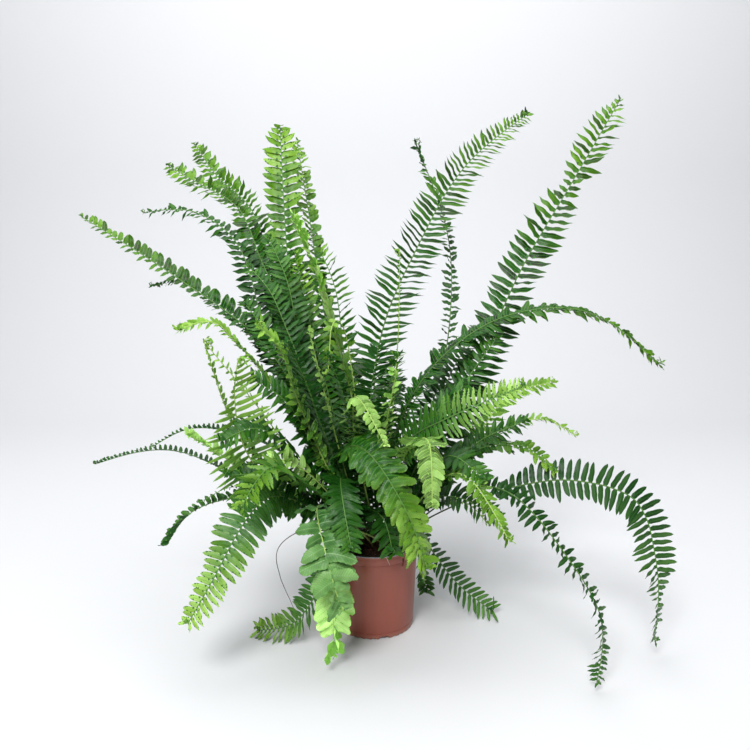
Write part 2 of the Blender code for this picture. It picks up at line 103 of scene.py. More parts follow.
def add_node(tree: bpy.types.NodeTree, kind: str, settings: dict | str | None = None,
             inputs: dict | None = None) -> bpy.types.Node:
    """Add one node with its settings, links and values.

    Args:
        tree: The node tree that it joins.
        kind: The node's type name.
        settings: Values for the node's own properties, or its operation's name alone.
        inputs: A node or socket to link, or a value to set, by input name or number.

    Returns:
        The new node.
    """
    node = tree.nodes.new(kind)
    if isinstance(settings, str):
        settings = {"operation": settings}
    for name, value in (settings or {}).items():
        setattr(node, name, value)
    for key, value in (inputs or {}).items():
        if isinstance(key, int):
            socket = node.inputs[key]
        else:
            socket = next(s for s in node.inputs if s.name == key and s.enabled)
        if isinstance(value, bpy.types.Node):
            value = live_output(value)
        if isinstance(value, bpy.types.NodeSocket):
            tree.links.new(value, socket)
        else:
            socket.default_value = value
    return node


def new_material(name: str) -> tuple[bpy.types.Material, bpy.types.NodeTree, bpy.types.Node]:
    """Make a material, and give it with its node tree and its main shader."""
    material = bpy.data.materials.new(name)
    material.use_nodes = True
    return material, material.node_tree, material.node_tree.nodes["Principled BSDF"]


def new_tree(name: str, inputs: tuple[tuple[str, str], ...]) -> tuple[bpy.types.NodeTree, dict[str, str]]:
    """Make a Geometry Nodes tree with named inputs and one geometry output.

    Args:
        name: The tree's name.
        inputs: Each input's name and socket type.

    Returns:
        The tree, and each input's identifier by its name.
    """
    tree = bpy.data.node_groups.new(name, "GeometryNodeTree")
    sockets = {}
    for label, kind in inputs:
        sockets[label] = tree.interface.new_socket(name=label, in_out="INPUT", socket_type=kind).identifier
    tree.interface.new_socket(name="Made", in_out="OUTPUT", socket_type="NodeSocketGeometry")
    return tree, sockets


def new_object(name: str, mesh: bpy.types.Mesh) -> bpy.types.Object:
    """Link a mesh to the scene as an object at the origin."""
    item = bpy.data.objects.new(name, mesh)
    bpy.context.scene.collection.objects.link(item)
    return item


def mesh_from(name: str, vertices: np.ndarray, faces: list, crease: float = 35.0) -> bpy.types.Mesh:
    """Make a closed mesh whose faces point out.

    Args:
        name: The mesh's name.
        vertices: One row of x, y, z for each vertex.
        faces: Tuples of vertex numbers.
        crease: The angle in degrees past which an edge stays sharp.

    Returns:
        The mesh, shaded smooth.
    """
    mesh = bpy.data.meshes.new(name)
    mesh.from_pydata(np.asarray(vertices, float).tolist(), [], faces)
    work = bmesh.new()
    work.from_mesh(mesh)
    bmesh.ops.recalc_face_normals(work, faces=work.faces)
    work.to_mesh(mesh)
    work.free()
    mesh.shade_smooth()
    mesh.set_sharp_from_angle(angle=math.radians(crease))
    return mesh


def ring_faces(rings: int, count: int, closed: bool = True) -> list[tuple[int, ...]]:
    """Quads between neighbouring rings of vertices.

    Args:
        rings: How many rings there are.
        count: How many vertices each ring has.
        closed: Whether each ring joins its last vertex to its first.

    Returns:
        The faces as tuples of vertex numbers.
    """
    faces = []
    for ring in range(rings - 1):
        for k in range(count if closed else count - 1):
            a = ring * count + k
            b = ring * count + (k + 1) % count
            faces.append((a, b, b + count, a + count))
    return faces


def capped_rings(rings: int, count: int) -> list[tuple[int, ...]]:
    """The faces of a closed solid made of rings, with one flat face at each end."""
    faces = ring_faces(rings, count)
    faces.append(tuple(range(count)))
    faces.append(tuple((rings - 1) * count + k for k in range(count)))
    return faces


def tube(points: np.ndarray, radii: np.ndarray, sides: int) -> tuple[np.ndarray, list]:
    """A closed tube along points.

    Args:
        points: The middle line, one row for each ring.
        radii: The radius at each ring.
        sides: How many sides the tube has.

    Returns:
        Its vertices and faces.
    """
    tangents = np.gradient(points, axis=0)
    tangents /= np.linalg.norm(tangents, axis=1)[:, None]
    across = np.cross(tangents[0], (0.3, 0.5, 0.81))
    rows = []
    for point, tangent, radius in zip(points, tangents, radii):
        across = across - tangent * (across @ tangent)
        across /= np.linalg.norm(across)
        other = np.cross(tangent, across)
        turns = np.arange(sides) * math.tau / sides
        rows.append(point + radius * (np.cos(turns)[:, None] * across + np.sin(turns)[:, None] * other))
    return np.concatenate(rows), capped_rings(len(points), sides)


def spline(points: np.ndarray, count: int) -> np.ndarray:
    """A smooth curve through points, evenly spaced along its length.

    Args:
        points: The points it passes, one row each.
        count: How many points to return.

    Returns:
        The curve's points.
    """
    padded = np.vstack([2 * points[0] - points[1], points, 2 * points[-1] - points[-2]])
    dense = []
    for k in range(1, len(padded) - 2):
        a, b, c, d = padded[k - 1:k + 3]
        for t in np.linspace(0, 1, 16, endpoint=False):
            dense.append(0.5 * (2 * b + (c - a) * t + (2 * a - 5 * b + 4 * c - d) * t * t
                                + (3 * b - a - 3 * c + d) * t ** 3))
    dense.append(points[-1])
    dense = np.array(dense)
    along = np.concatenate([[0], np.cumsum(np.linalg.norm(np.diff(dense[:, :3], axis=0), axis=1))])
    wanted = np.linspace(0, along[-1], count)
    return np.stack([np.interp(wanted, along, column) for column in dense.T], axis=1)


def settle(piece: bpy.types.Object, slot: str, *replaced: str) -> bpy.types.Object:
    """Put a finished piece on the plant's one body.

    Args:
        piece: The finished piece.
        slot: The record's material slot of the piece; not used.
        replaced: The CAD nodes that it stands for.

    Returns:
        The same piece.
    """
    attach(piece, BODY)
    if replaced:
        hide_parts(*replaced)
    LOG.info("%s: %d faces", piece.name, len(piece.data.polygons))
    return piece


# ---------------------------------------------------------------------------------------------
# Finishes
# ---------------------------------------------------------------------------------------------


class Age(Enum):
    """How old a frond is, by its material slot in the record."""

    OLD = "leaf_old"
    MATURE = "leaf_mature"
    YOUNG = "leaf_young"
    LIME = "leaf_lime"
    PALE = "leaf_pale"


@dataclass(frozen=True)
class LeafFinish:
    """Living fern leaflet: a waxy upper skin that shines softly, and light glowing through it."""

    name: str
    body: str
    tip: str
    rib: str
    underside: str
    glow: str
    tip_start: float = 0.62
    roughness: float = 0.36
    through: float = 0.2
    margin: float = 0.25
    coat: float = 0.06
    mottle_mm: float = 9.0
    vein_pairs: float = 11.0
    rib_width: float = 0.10

    IOR = 1.37
    COAT_ROUGHNESS = 0.3
    GLOW_STRENGTH = 2.4

    def build(self) -> bpy.types.Material:
        """Make the material from the leaflet's own map: u across it, v along it.

        Returns:
            The material.
        """
        material, tree, surface = new_material(self.name)
        share = add_node(tree, "ShaderNodeAttribute", {"attribute_name": "share"})
        tone = add_node(tree, "ShaderNodeAttribute", {"attribute_name": "tone"})
        under = add_node(tree, "ShaderNodeAttribute", {"attribute_name": "underside"})
        leaf_map = add_node(tree, "ShaderNodeUVMap", {"uv_map": "leaflet_map"})
        place = add_node(tree, "ShaderNodeSeparateXYZ", {}, {0: leaf_map})
        across = add_node(tree, "ShaderNodeMath", "MULTIPLY_ADD", {0: place.outputs[0], 1: 2.0, 2: -1.0})
        from_rib = add_node(tree, "ShaderNodeMath", "ABSOLUTE", {0: across})

        # New growth is lighter towards the frond's tip, and a little towards each leaflet's end
        newer = add_node(tree, "ShaderNodeMath", "MULTIPLY_ADD",
                         {0: place.outputs[1], 1: 0.12, 2: share.outputs["Fac"]})
        ramp = add_node(tree, "ShaderNodeMapRange", {"interpolation_type": "SMOOTHSTEP"},
                        {"Value": newer, "From Min": self.tip_start, "From Max": 1.08})
        growth = add_node(tree, "ShaderNodeMix", {"data_type": "RGBA"},
                          {0: ramp, 6: linear(self.body), 7: linear(self.tip)})

        # Patches of darker and lighter green about a leaflet's width across, over each leaflet's tone, which
        # carries the frond's lightness and so partly painted light and shade
        where = add_node(tree, "ShaderNodeTexCoord")
        patches = add_node(tree, "ShaderNodeTexNoise", {},
                           {"Vector": where.outputs["Object"], "Scale": 1000 / self.mottle_mm, "Detail": 3.0})
        lightness = add_node(tree, "ShaderNodeMath", "MULTIPLY_ADD", {0: patches, 1: 0.3, 2: 0.33})
        lighter = add_node(tree, "ShaderNodeMath", "MULTIPLY_ADD",
                           {0: tone.outputs["Fac"], 1: 0.8, 2: lightness})
        hue = add_node(tree, "ShaderNodeMapRange", {},
                       {"Value": tone.outputs["Fac"], "To Min": 0.512, "To Max": 0.488})
        # Painted sheen: the lighter a leaflet's tone, the greyer its green, standing in for a whitish shine
        # off its upper face
        waxy = add_node(tree, "ShaderNodeMapRange", {},
                        {"Value": tone.outputs["Fac"], "From Max": 1.7, "To Min": 1.06, "To Max": 0.82})
        varied = add_node(tree, "ShaderNodeHueSaturation", {},
                          {"Hue": hue, "Saturation": waxy, "Value": lighter, "Color": growth})

        # The midrib is a pale raised line, and side veins fan out from it to the margin
        rib = add_node(tree, "ShaderNodeMapRange", {"interpolation_type": "SMOOTHSTEP"},
                       {"Value": from_rib, "From Min": self.rib_width, "From Max": 0.02, "To Min": 0.0,
                        "To Max": 0.75})
        slant = add_node(tree, "ShaderNodeMath", "MULTIPLY_ADD", {0: from_rib, 1: -0.16, 2: place.outputs[1]})
        phase = add_node(tree, "ShaderNodeMath", "MULTIPLY", {0: slant, 1: math.tau * self.vein_pairs})
        veins = add_node(tree, "ShaderNodeMath", "SINE", {0: phase})
        edge = add_node(tree, "ShaderNodeMapRange", {"interpolation_type": "SMOOTHSTEP"},
                        {"Value": from_rib, "From Min": 0.5, "To Max": self.margin})
        edged = add_node(tree, "ShaderNodeMix", {"data_type": "RGBA"},
                         {0: edge, 6: varied, 7: linear(self.tip)})
        ribbed = add_node(tree, "ShaderNodeMix", {"data_type": "RGBA"},
                          {0: rib, 6: edged, 7: linear(self.rib)})
        shade = add_node(tree, "ShaderNodeMapRange", {},
                         {"Value": veins, "From Min": -1.0, "To Min": 0.9, "To Max": 1.08})
        veined = add_node(tree, "ShaderNodeVectorMath", "SCALE", {0: ribbed, "Scale": shade})
        skin = add_node(tree, "ShaderNodeMix", {"data_type": "RGBA"},
                        {0: under.outputs["Fac"], 6: veined, 7: linear(self.underside)})

        # The rib and veins stand up a little, the underside is duller, and light glows through
        height = add_node(tree, "ShaderNodeMath", "MULTIPLY_ADD", {0: rib, 1: 1.6, 2: veins})
        bump = add_node(tree, "ShaderNodeBump", {},
                        {"Strength": 0.35, "Distance": 0.25 * MM, "Height": height})
        dull = add_node(tree, "ShaderNodeMath", "MULTIPLY_ADD",
                        {0: under.outputs["Fac"], 1: 0.2, 2: self.roughness})
        tree.links.new(skin.outputs[2], surface.inputs["Base Color"])
        tree.links.new(dull.outputs[0], surface.inputs["Roughness"])
        tree.links.new(bump.outputs[0], surface.inputs["Normal"])
        for name, value in (("IOR", self.IOR), ("Coat Weight", self.coat),
                            ("Coat Roughness", self.COAT_ROUGHNESS)):
            surface.inputs[name].default_value = value
        lit = add_node(tree, "ShaderNodeMix", {"data_type": "RGBA", "blend_type": "MULTIPLY"},
                       {0: 1.0, 6: skin, 7: linear(self.glow)})
        boosted = add_node(tree, "ShaderNodeVectorMath", "SCALE", {0: lit, "Scale": self.GLOW_STRENGTH})
        glow = add_node(tree, "ShaderNodeBsdfTranslucent", {}, {"Color": boosted, "Normal": bump})
        both = add_node(tree, "ShaderNodeMixShader", {}, {0: self.through, 1: surface, 2: glow})
        tree.links.new(both.outputs[0], tree.nodes["Material Output"].inputs["Surface"])
        return material


@dataclass(frozen=True)
class StalkFinish:
    """Rachis: a fine round stalk, brown and scaly at the crown and green further out."""

    name: str
    foot: str
    body: str
    tip: str

    def build(self) -> bpy.types.Material:
        """Make the material along the frond's own share.

        Returns:
            The material.
        """
        material, tree, shader = new_material(self.name)
        share = add_node(tree, "ShaderNodeAttribute", {"attribute_name": "share"})
        where = add_node(tree, "ShaderNodeTexCoord")
        grain = add_node(tree, "ShaderNodeTexNoise", {},
                         {"Vector": where.outputs["Object"], "Scale": 1000 / 4.0, "Detail": 4.0})
        ragged = add_node(tree, "ShaderNodeMath", "MULTIPLY_ADD",
                          {0: grain, 1: 0.25, 2: share.outputs["Fac"]})
        ramp = add_node(tree, "ShaderNodeValToRGB", {}, {0: ragged})
        ramp.color_ramp.elements[0].position = 0.16
        ramp.color_ramp.elements[0].color = linear(self.foot)
        ramp.color_ramp.elements[1].position = 1.0
        ramp.color_ramp.elements[1].color = linear(self.tip)
        middle = ramp.color_ramp.elements.new(0.34)
        middle.color = linear(self.body)
        bump = add_node(tree, "ShaderNodeBump", {}, {"Strength": 0.4, "Distance": 0.2 * MM, "Height": grain})
        tree.links.new(ramp.outputs[0], shader.inputs["Base Color"])
        tree.links.new(bump.outputs[0], shader.inputs["Normal"])
        shader.inputs["Roughness"].default_value = 0.5
        shader.inputs["IOR"].default_value = 1.42
        return material


# Old leaflets are deep green and dull against the light; newer ones are yellower, with paler margins,
# and let more light through. Pale ones carry more wax, so their shine is broader and greyer.
LEAF_FINISHES = {
    Age.OLD: LeafFinish("old fern leaflet", "#0e4205", "#3c7a12", "#3c7424", "#1e5616", "#98e028",
                        through=0.08, margin=0.12),
    Age.MATURE: LeafFinish("mature fern leaflet", "#1a560a", "#80b42a", "#529430", "#2c681c", "#a8ec28",
                           through=0.12, margin=0.3),
    Age.YOUNG: LeafFinish("young fern leaflet", "#3c7416", "#96c444", "#7cb048", "#7cae3e", "#c4ec58",
                          tip_start=0.5, through=0.22, margin=0.4),
    Age.LIME: LeafFinish("lime new fern leaflet", "#4b7e28", "#b4d876", "#a8cc74", "#98c45e", "#dcf298",
                         tip_start=0.45, through=0.26, margin=0.55),
    Age.PALE: LeafFinish("pale waxy fern leaflet", "#47803a", "#86b866", "#8ab472", "#659856", "#bce274",
                         tip_start=0.5, roughness=0.42, through=0.2, margin=0.4),
}
# Brown scales at the foot give way to smooth green skin on old stalks, and to lime on young ones
OLD_STALK = StalkFinish("brown and green fern stalk", "#3c2a1a", "#43602a", "#5d8a3c")
YOUNG_STALK = StalkFinish("pale green fern stalk", "#5b4a2a", "#8aa850", "#a9c868")


# ---------------------------------------------------------------------------------------------
# Leaflets
# ---------------------------------------------------------------------------------------------


@dataclass(frozen=True)
class Leaflet:
    """One leaflet of unit length and width: thin, closed, with an ear at its base."""

    sickle: float = 0.35
    droop: float = 0.4
    ear: float = 0.16
    fullness: float = 2.2
    point: float = 0.8
    crenation: float = 0.0
    wave: float = 0.025
    arch: float = 0.12
    thickness: float = 0.06
    stations: int = 8
    fine: bool = False

    EAR_PLACE = 0.07
    EAR_REACH = 0.12
    RIPPLE_RATE = 11.0
    RIPPLE_SKEW = 2.5
    CREASE = 60.0

    def ripple(self, u: float, v: float) -> float:
        """How far the leaflet waves up or down at u across it and v along it."""
        return self.wave * math.sin(self.RIPPLE_RATE * v + self.RIPPLE_SKEW * u) * abs(u)

    def half_width(self, v: float) -> float:
        """Half the leaflet's width at v along it, from 0 at its stalk to 1 at its end."""
        return 0.5 * min(1.0, 0.5 + 4.5 * v) * (1.0 - v ** self.fullness) ** self.point

    def build(self, name: str, tipward: int) -> bpy.types.Object:
        """Make the leaflet's mesh, with its map and an underside mark on its lower faces.

        Args:
            name: The object's name.
            tipward: 1 or -1, the side of Y that faces the frond's tip.

        Returns:
            The leaflet's object, in no collection yet.
        """
        columns = (-1.0, -0.5, 0.0, 0.5, 1.0) if self.fine else (-1.0, 0.0, 1.0)
        under = (0.5, -0.5) if self.fine else (0.0,)
        stops = [(k / self.stations) ** 0.9 for k in range(self.stations)]
        vertices = []
        for k, v in enumerate(stops):
            half = self.half_width(v)
            if k % 2 and k < self.stations - 1:
                half *= 1.0 - self.crenation
            bend = self.sickle * v * v
            sag = -self.droop * v * v
            for u in columns:
                ear = self.ear * max(u, 0.0) * max(0.0, 1.0 - abs(v - self.EAR_PLACE) / self.EAR_REACH)
                rise = self.ripple(u, v) - self.arch * abs(u) * 2 * half
                vertices.append((v, tipward * (half * u + ear + bend), sag + rise))
            for u in under:
                low = self.ripple(u, v) - self.arch * abs(u) * 2 * half - self.thickness
                vertices.append((v, tipward * (half * u + bend), sag + low))
        ring = len(columns) + len(under)
        tip = len(vertices)
        vertices.append((1.0, tipward * self.sickle, -self.droop))
        faces = ring_faces(self.stations, ring)
        last = (self.stations - 1) * ring
        faces += [(last + c, last + (c + 1) % ring, tip) for c in range(ring)]
        faces.append(tuple(range(ring)))
        lower = [c >= len(columns) - 1 for c in range(ring)] * self.stations + [True]
        mesh = mesh_from(name, np.array(vertices), faces, self.CREASE)
        mark = mesh.attributes.new("underside", "FLOAT", "FACE")
        mark.data.foreach_set("value", [float(flag) for flag in lower])
        layer = mesh.uv_layers.new(name="leaflet_map")
        places = [0.5 + 0.5 * u for u in (*columns, *under)]
        for corner in mesh.loops:
            k, c = divmod(corner.vertex_index, ring)
            spot = (0.5, 1.0) if corner.vertex_index == tip else (places[c], stops[k])
            layer.data[corner.index].uv = spot
        return bpy.data.objects.new(name, mesh)


class Shape(Enum):
    """The kinds of leaflet on the plant, each with a few shapes of its own."""

    SICKLE = "sickle"
    TONGUE = "tongue"
    LOBED = "lobed"
    ROUND = "round"


LEAFLETS = {
    Shape.SICKLE: (
        Leaflet(0.40, 0.50, fullness=3.0, point=0.68, wave=0.07),
        Leaflet(0.60, 0.95, fullness=2.8, point=0.70, wave=0.10),
        Leaflet(0.30, 0.15, fullness=3.2, point=0.62, wave=0.12),
        Leaflet(0.50, 1.40, fullness=2.8, point=0.72, wave=0.08),
        Leaflet(0.35, -0.35, fullness=3.0, point=0.66, wave=0.10),
        Leaflet(0.75, 0.70, fullness=2.6, point=0.80, wave=0.14),
    ),
    Shape.TONGUE: (
        Leaflet(0.30, 0.40, fullness=3.8, point=0.52, wave=0.06, crenation=0.04),
        Leaflet(0.45, 0.85, fullness=3.4, point=0.56, wave=0.10, crenation=0.04),
        Leaflet(0.20, 0.10, fullness=4.4, point=0.48, wave=0.12, crenation=0.05),
        Leaflet(0.35, -0.30, fullness=3.8, point=0.52, wave=0.10, crenation=0.05),
        Leaflet(0.40, 1.25, fullness=3.2, point=0.60, wave=0.08, crenation=0.04),
    ),
    Shape.LOBED: (
        Leaflet(0.25, 0.30, fullness=4.6, point=0.48, wave=0.10, crenation=0.09, stations=13, fine=True),
        Leaflet(0.35, 0.60, fullness=4.0, point=0.52, wave=0.14, crenation=0.11, stations=13, fine=True),
        Leaflet(0.15, 0.05, fullness=5.0, point=0.45, wave=0.12, crenation=0.08, stations=13, fine=True),
        Leaflet(0.30, 0.90, fullness=4.2, point=0.50, wave=0.16, crenation=0.10, stations=13, fine=True),
    ),
    Shape.ROUND: (
        Leaflet(0.12, 0.15, fullness=3.0, point=0.50, ear=0.10, wave=0.06, stations=6),
        Leaflet(0.22, 0.35, fullness=2.6, point=0.55, ear=0.12, wave=0.10, stations=6),
        Leaflet(0.10, -0.10, fullness=3.2, point=0.50, ear=0.08, wave=0.08, stations=6),
    ),
}


class LeafletShelf:
    """The collections of leaflet shapes that the frond tree picks from, kept out of the scene."""

    def __init__(self) -> None:
        """Make the left shapes and then the right shapes of every kind."""
        self.collections = {}
        for kind, shapes in LEAFLETS.items():
            collection = bpy.data.collections.new(kind.value)
            for tipward, letter in ((1, "a"), (-1, "b")):
                for number, shape in enumerate(shapes):
                    collection.objects.link(shape.build(f"{kind.value}_{letter}{number}", tipward))
            self.collections[kind] = collection

    def clear(self) -> None:
        """Remove the shapes once every frond is grown."""
        for collection in self.collections.values():
            for item in list(collection.objects):
                bpy.data.objects.remove(item)
            bpy.data.collections.remove(collection)


# ---------------------------------------------------------------------------------------------
# Fronds
# ---------------------------------------------------------------------------------------------


@dataclass(frozen=True)
class Habit:
    """How a frond's leaflets stand on its rachis: lengths in mm, angles in degrees."""

    half: float = 30.0
    spacing: float = 10.0
    slim: float = 0.92
    start: float = 0.10
    rise: float = 0.30
    blunt: float = 4.0
    tip: float = 0.22
    balance: float = 0.0
    sweep: float = 14.0
    cup: float = 12.0
    twist: float = 34.0
    jitter: float = 1.0
    curl: float = 3.0
    rachis: float = 1.0
    unrolled: float = 0.05
    waist: tuple[float, float] = (0.0, 0.0)
    roll: float = 0.0
    # Lightness of the whole frond, added to each leaflet's tone: partly the frond's own paler or deeper
    # green, and partly painted light and shade, set frond by frond for how lit or shaded it stands
    light: float = 0.0
    shape: Shape = Shape.SICKLE

    FIRST_LENGTH = 0.35
    FALL_START = 0.45
    WAIST_REACH = 0.035
    LAST_LENGTH = 0.12

    def outline(self, shares: np.ndarray) -> np.ndarray:
        """Leaflet length along the frond, as a share of the longest.

        Args:
            shares: Places along the frond, from 0 at the crown to 1 at the tip.

        Returns:
            One length for each place.
        """
        rising = np.clip((shares - self.start) / self.rise, 0.0, 1.0)
        falling = np.clip((shares - self.FALL_START) / (1.0 - self.FALL_START), 0.0, 1.0)
        lengths = self.FIRST_LENGTH + (1.0 - self.FIRST_LENGTH) * np.sin(0.5 * math.pi * rising)
        lengths *= 1.0 - (1.0 - self.tip) * falling ** self.blunt
        at, depth = self.waist
        lengths *= 1.0 - depth * np.exp(-((shares - at) / self.WAIST_REACH) ** 2)
        return lengths * np.clip((1.0 - shares) / self.unrolled, self.LAST_LENGTH, 1.0)


@dataclass
class Blade:
    """The route of one frond: where its rachis runs, and which way its blade lies."""

    points: np.ndarray
    sides: np.ndarray
    uppers: np.ndarray

    RING = 4
    CURL_POINTS = 18
    CURL_TURNS = 1.35
    CURL_CLOSING = 0.62
    FREE_POINTS = 24
    LEVEL_BIAS = 0.15

    @classmethod
    def from_node(cls, name: str) -> "Blade":
        """Read a frond's route from the rings of four vertices along its solid.

        Args:
            name: The CAD node's name.

        Returns:
            The route, from the crown to the frond's tip.
        """
        work = bmesh.new()
        work.from_mesh(frame["nodes"][name].data)
        bmesh.ops.remove_doubles(work, verts=work.verts, dist=0.001 * MM)
        places = np.array([vertex.co[:] for vertex in work.verts])
        neighbours = [[edge.other_vert(vertex).index for edge in vertex.link_edges] for vertex in work.verts]
        work.free()
        low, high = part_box("crown")
        crown = (np.array(low[:]) + np.array(high[:])) / 2
        nearest = np.argmin(np.linalg.norm(places - crown, axis=1))
        ring = np.argsort(np.linalg.norm(places - places[nearest], axis=1))[:cls.RING].tolist()
        seen = set(ring)
        rings = [ring]
        while len(seen) < len(places):
            ring = sorted({n for v in rings[-1] for n in neighbours[v]} - seen)
            if len(ring) != cls.RING:
                raise ValueError(f"{name} isn't made of rings of {cls.RING} vertices")
            seen.update(ring)
            rings.append(ring)
        centres, ridges = [], []
        for ring in rings:
            corners = places[ring]
            gaps = np.linalg.norm(corners[:, None] - corners[None, :], axis=2)
            a, b = np.unravel_index(np.argmax(gaps), gaps.shape)
            middle = (corners[a] + corners[b]) / 2
            keel, ridge = sorted((corners[k] for k in range(cls.RING) if k not in (a, b)),
                                 key=lambda corner: np.linalg.norm(corner - middle))
            centres.append(middle)
            ridges.append(ridge - keel)
        return cls.along(np.array(centres), np.array(ridges))

    @classmethod
    def along(cls, centres: np.ndarray, uppers: np.ndarray) -> "Blade":
        """Make a route from points and rough upward directions.

        Args:
            centres: Points along the rachis.
            uppers: The way the upper face looks at each point.

        Returns:
            The route with its directions squared up.
        """
        tangents = np.gradient(centres, axis=0)
        tangents /= np.linalg.norm(tangents, axis=1)[:, None]
        sides = np.cross(uppers, tangents)
        sides /= np.linalg.norm(sides, axis=1)[:, None]
        return cls(centres, sides, np.cross(tangents, sides))

    @classmethod
    def free(cls, turn: float, *places: tuple[float, float, float]) -> "Blade":
        """Make a route through places of its own.

        Args:
            turn: How far the blade is rolled about its rachis, in degrees.
            places: Bearing in degrees, reach in cm and height in cm of each place.

        Returns:
            The route.
        """
        corners = np.array([(reach * CM * math.cos(math.radians(bearing)),
                             reach * CM * math.sin(math.radians(bearing)), height * CM)
                            for bearing, reach, height in places])
        centres = spline(corners, cls.FREE_POINTS)
        tangents = np.gradient(centres, axis=0)
        tangents /= np.linalg.norm(tangents, axis=1)[:, None]
        away = np.cross((0.0, 0.0, 1.0), centres[-1] - centres[0])
        level = np.cross((0.0, 0.0, 1.0), tangents) + cls.LEVEL_BIAS * away / np.linalg.norm(away)
        level -= (level * tangents).sum(1)[:, None] * tangents
        level /= np.linalg.norm(level, axis=1)[:, None]
        upper = np.cross(tangents, level)
        angle = math.radians(turn)
        return cls.along(centres, math.cos(angle) * upper - math.sin(angle) * level)

    def table(self, samples: int, curl: float) -> np.ndarray:
        """Sample the route evenly and roll its end into a small crozier.

        Args:
            samples: How many points the straight part has.
            curl: The crozier's radius in metres, or 0 for none.

        Returns:
            Rows of point, side and upper.
        """
        rows = spline(np.hstack([self.points, self.sides, self.uppers]), samples)
        if curl <= 0:
            return rows
        point, side, upper = rows[-1, :3], rows[-1, 3:6], rows[-1, 6:9]
        side = side / np.linalg.norm(side)
        tangent = rows[-1, :3] - rows[-2, :3]
        tangent /= np.linalg.norm(tangent)
        upper = np.cross(tangent, side)
        rolled = []
        for k in range(1, self.CURL_POINTS + 1):
            share = k / self.CURL_POINTS
            angle = self.CURL_TURNS * math.tau * share
            radius = curl * (1.0 - self.CURL_CLOSING * share)
            inward = math.cos(angle) * upper - math.sin(angle) * tangent
            rolled.append(np.concatenate([point + curl * upper - radius * inward, side, inward]))
        return np.vstack([rows, rolled])


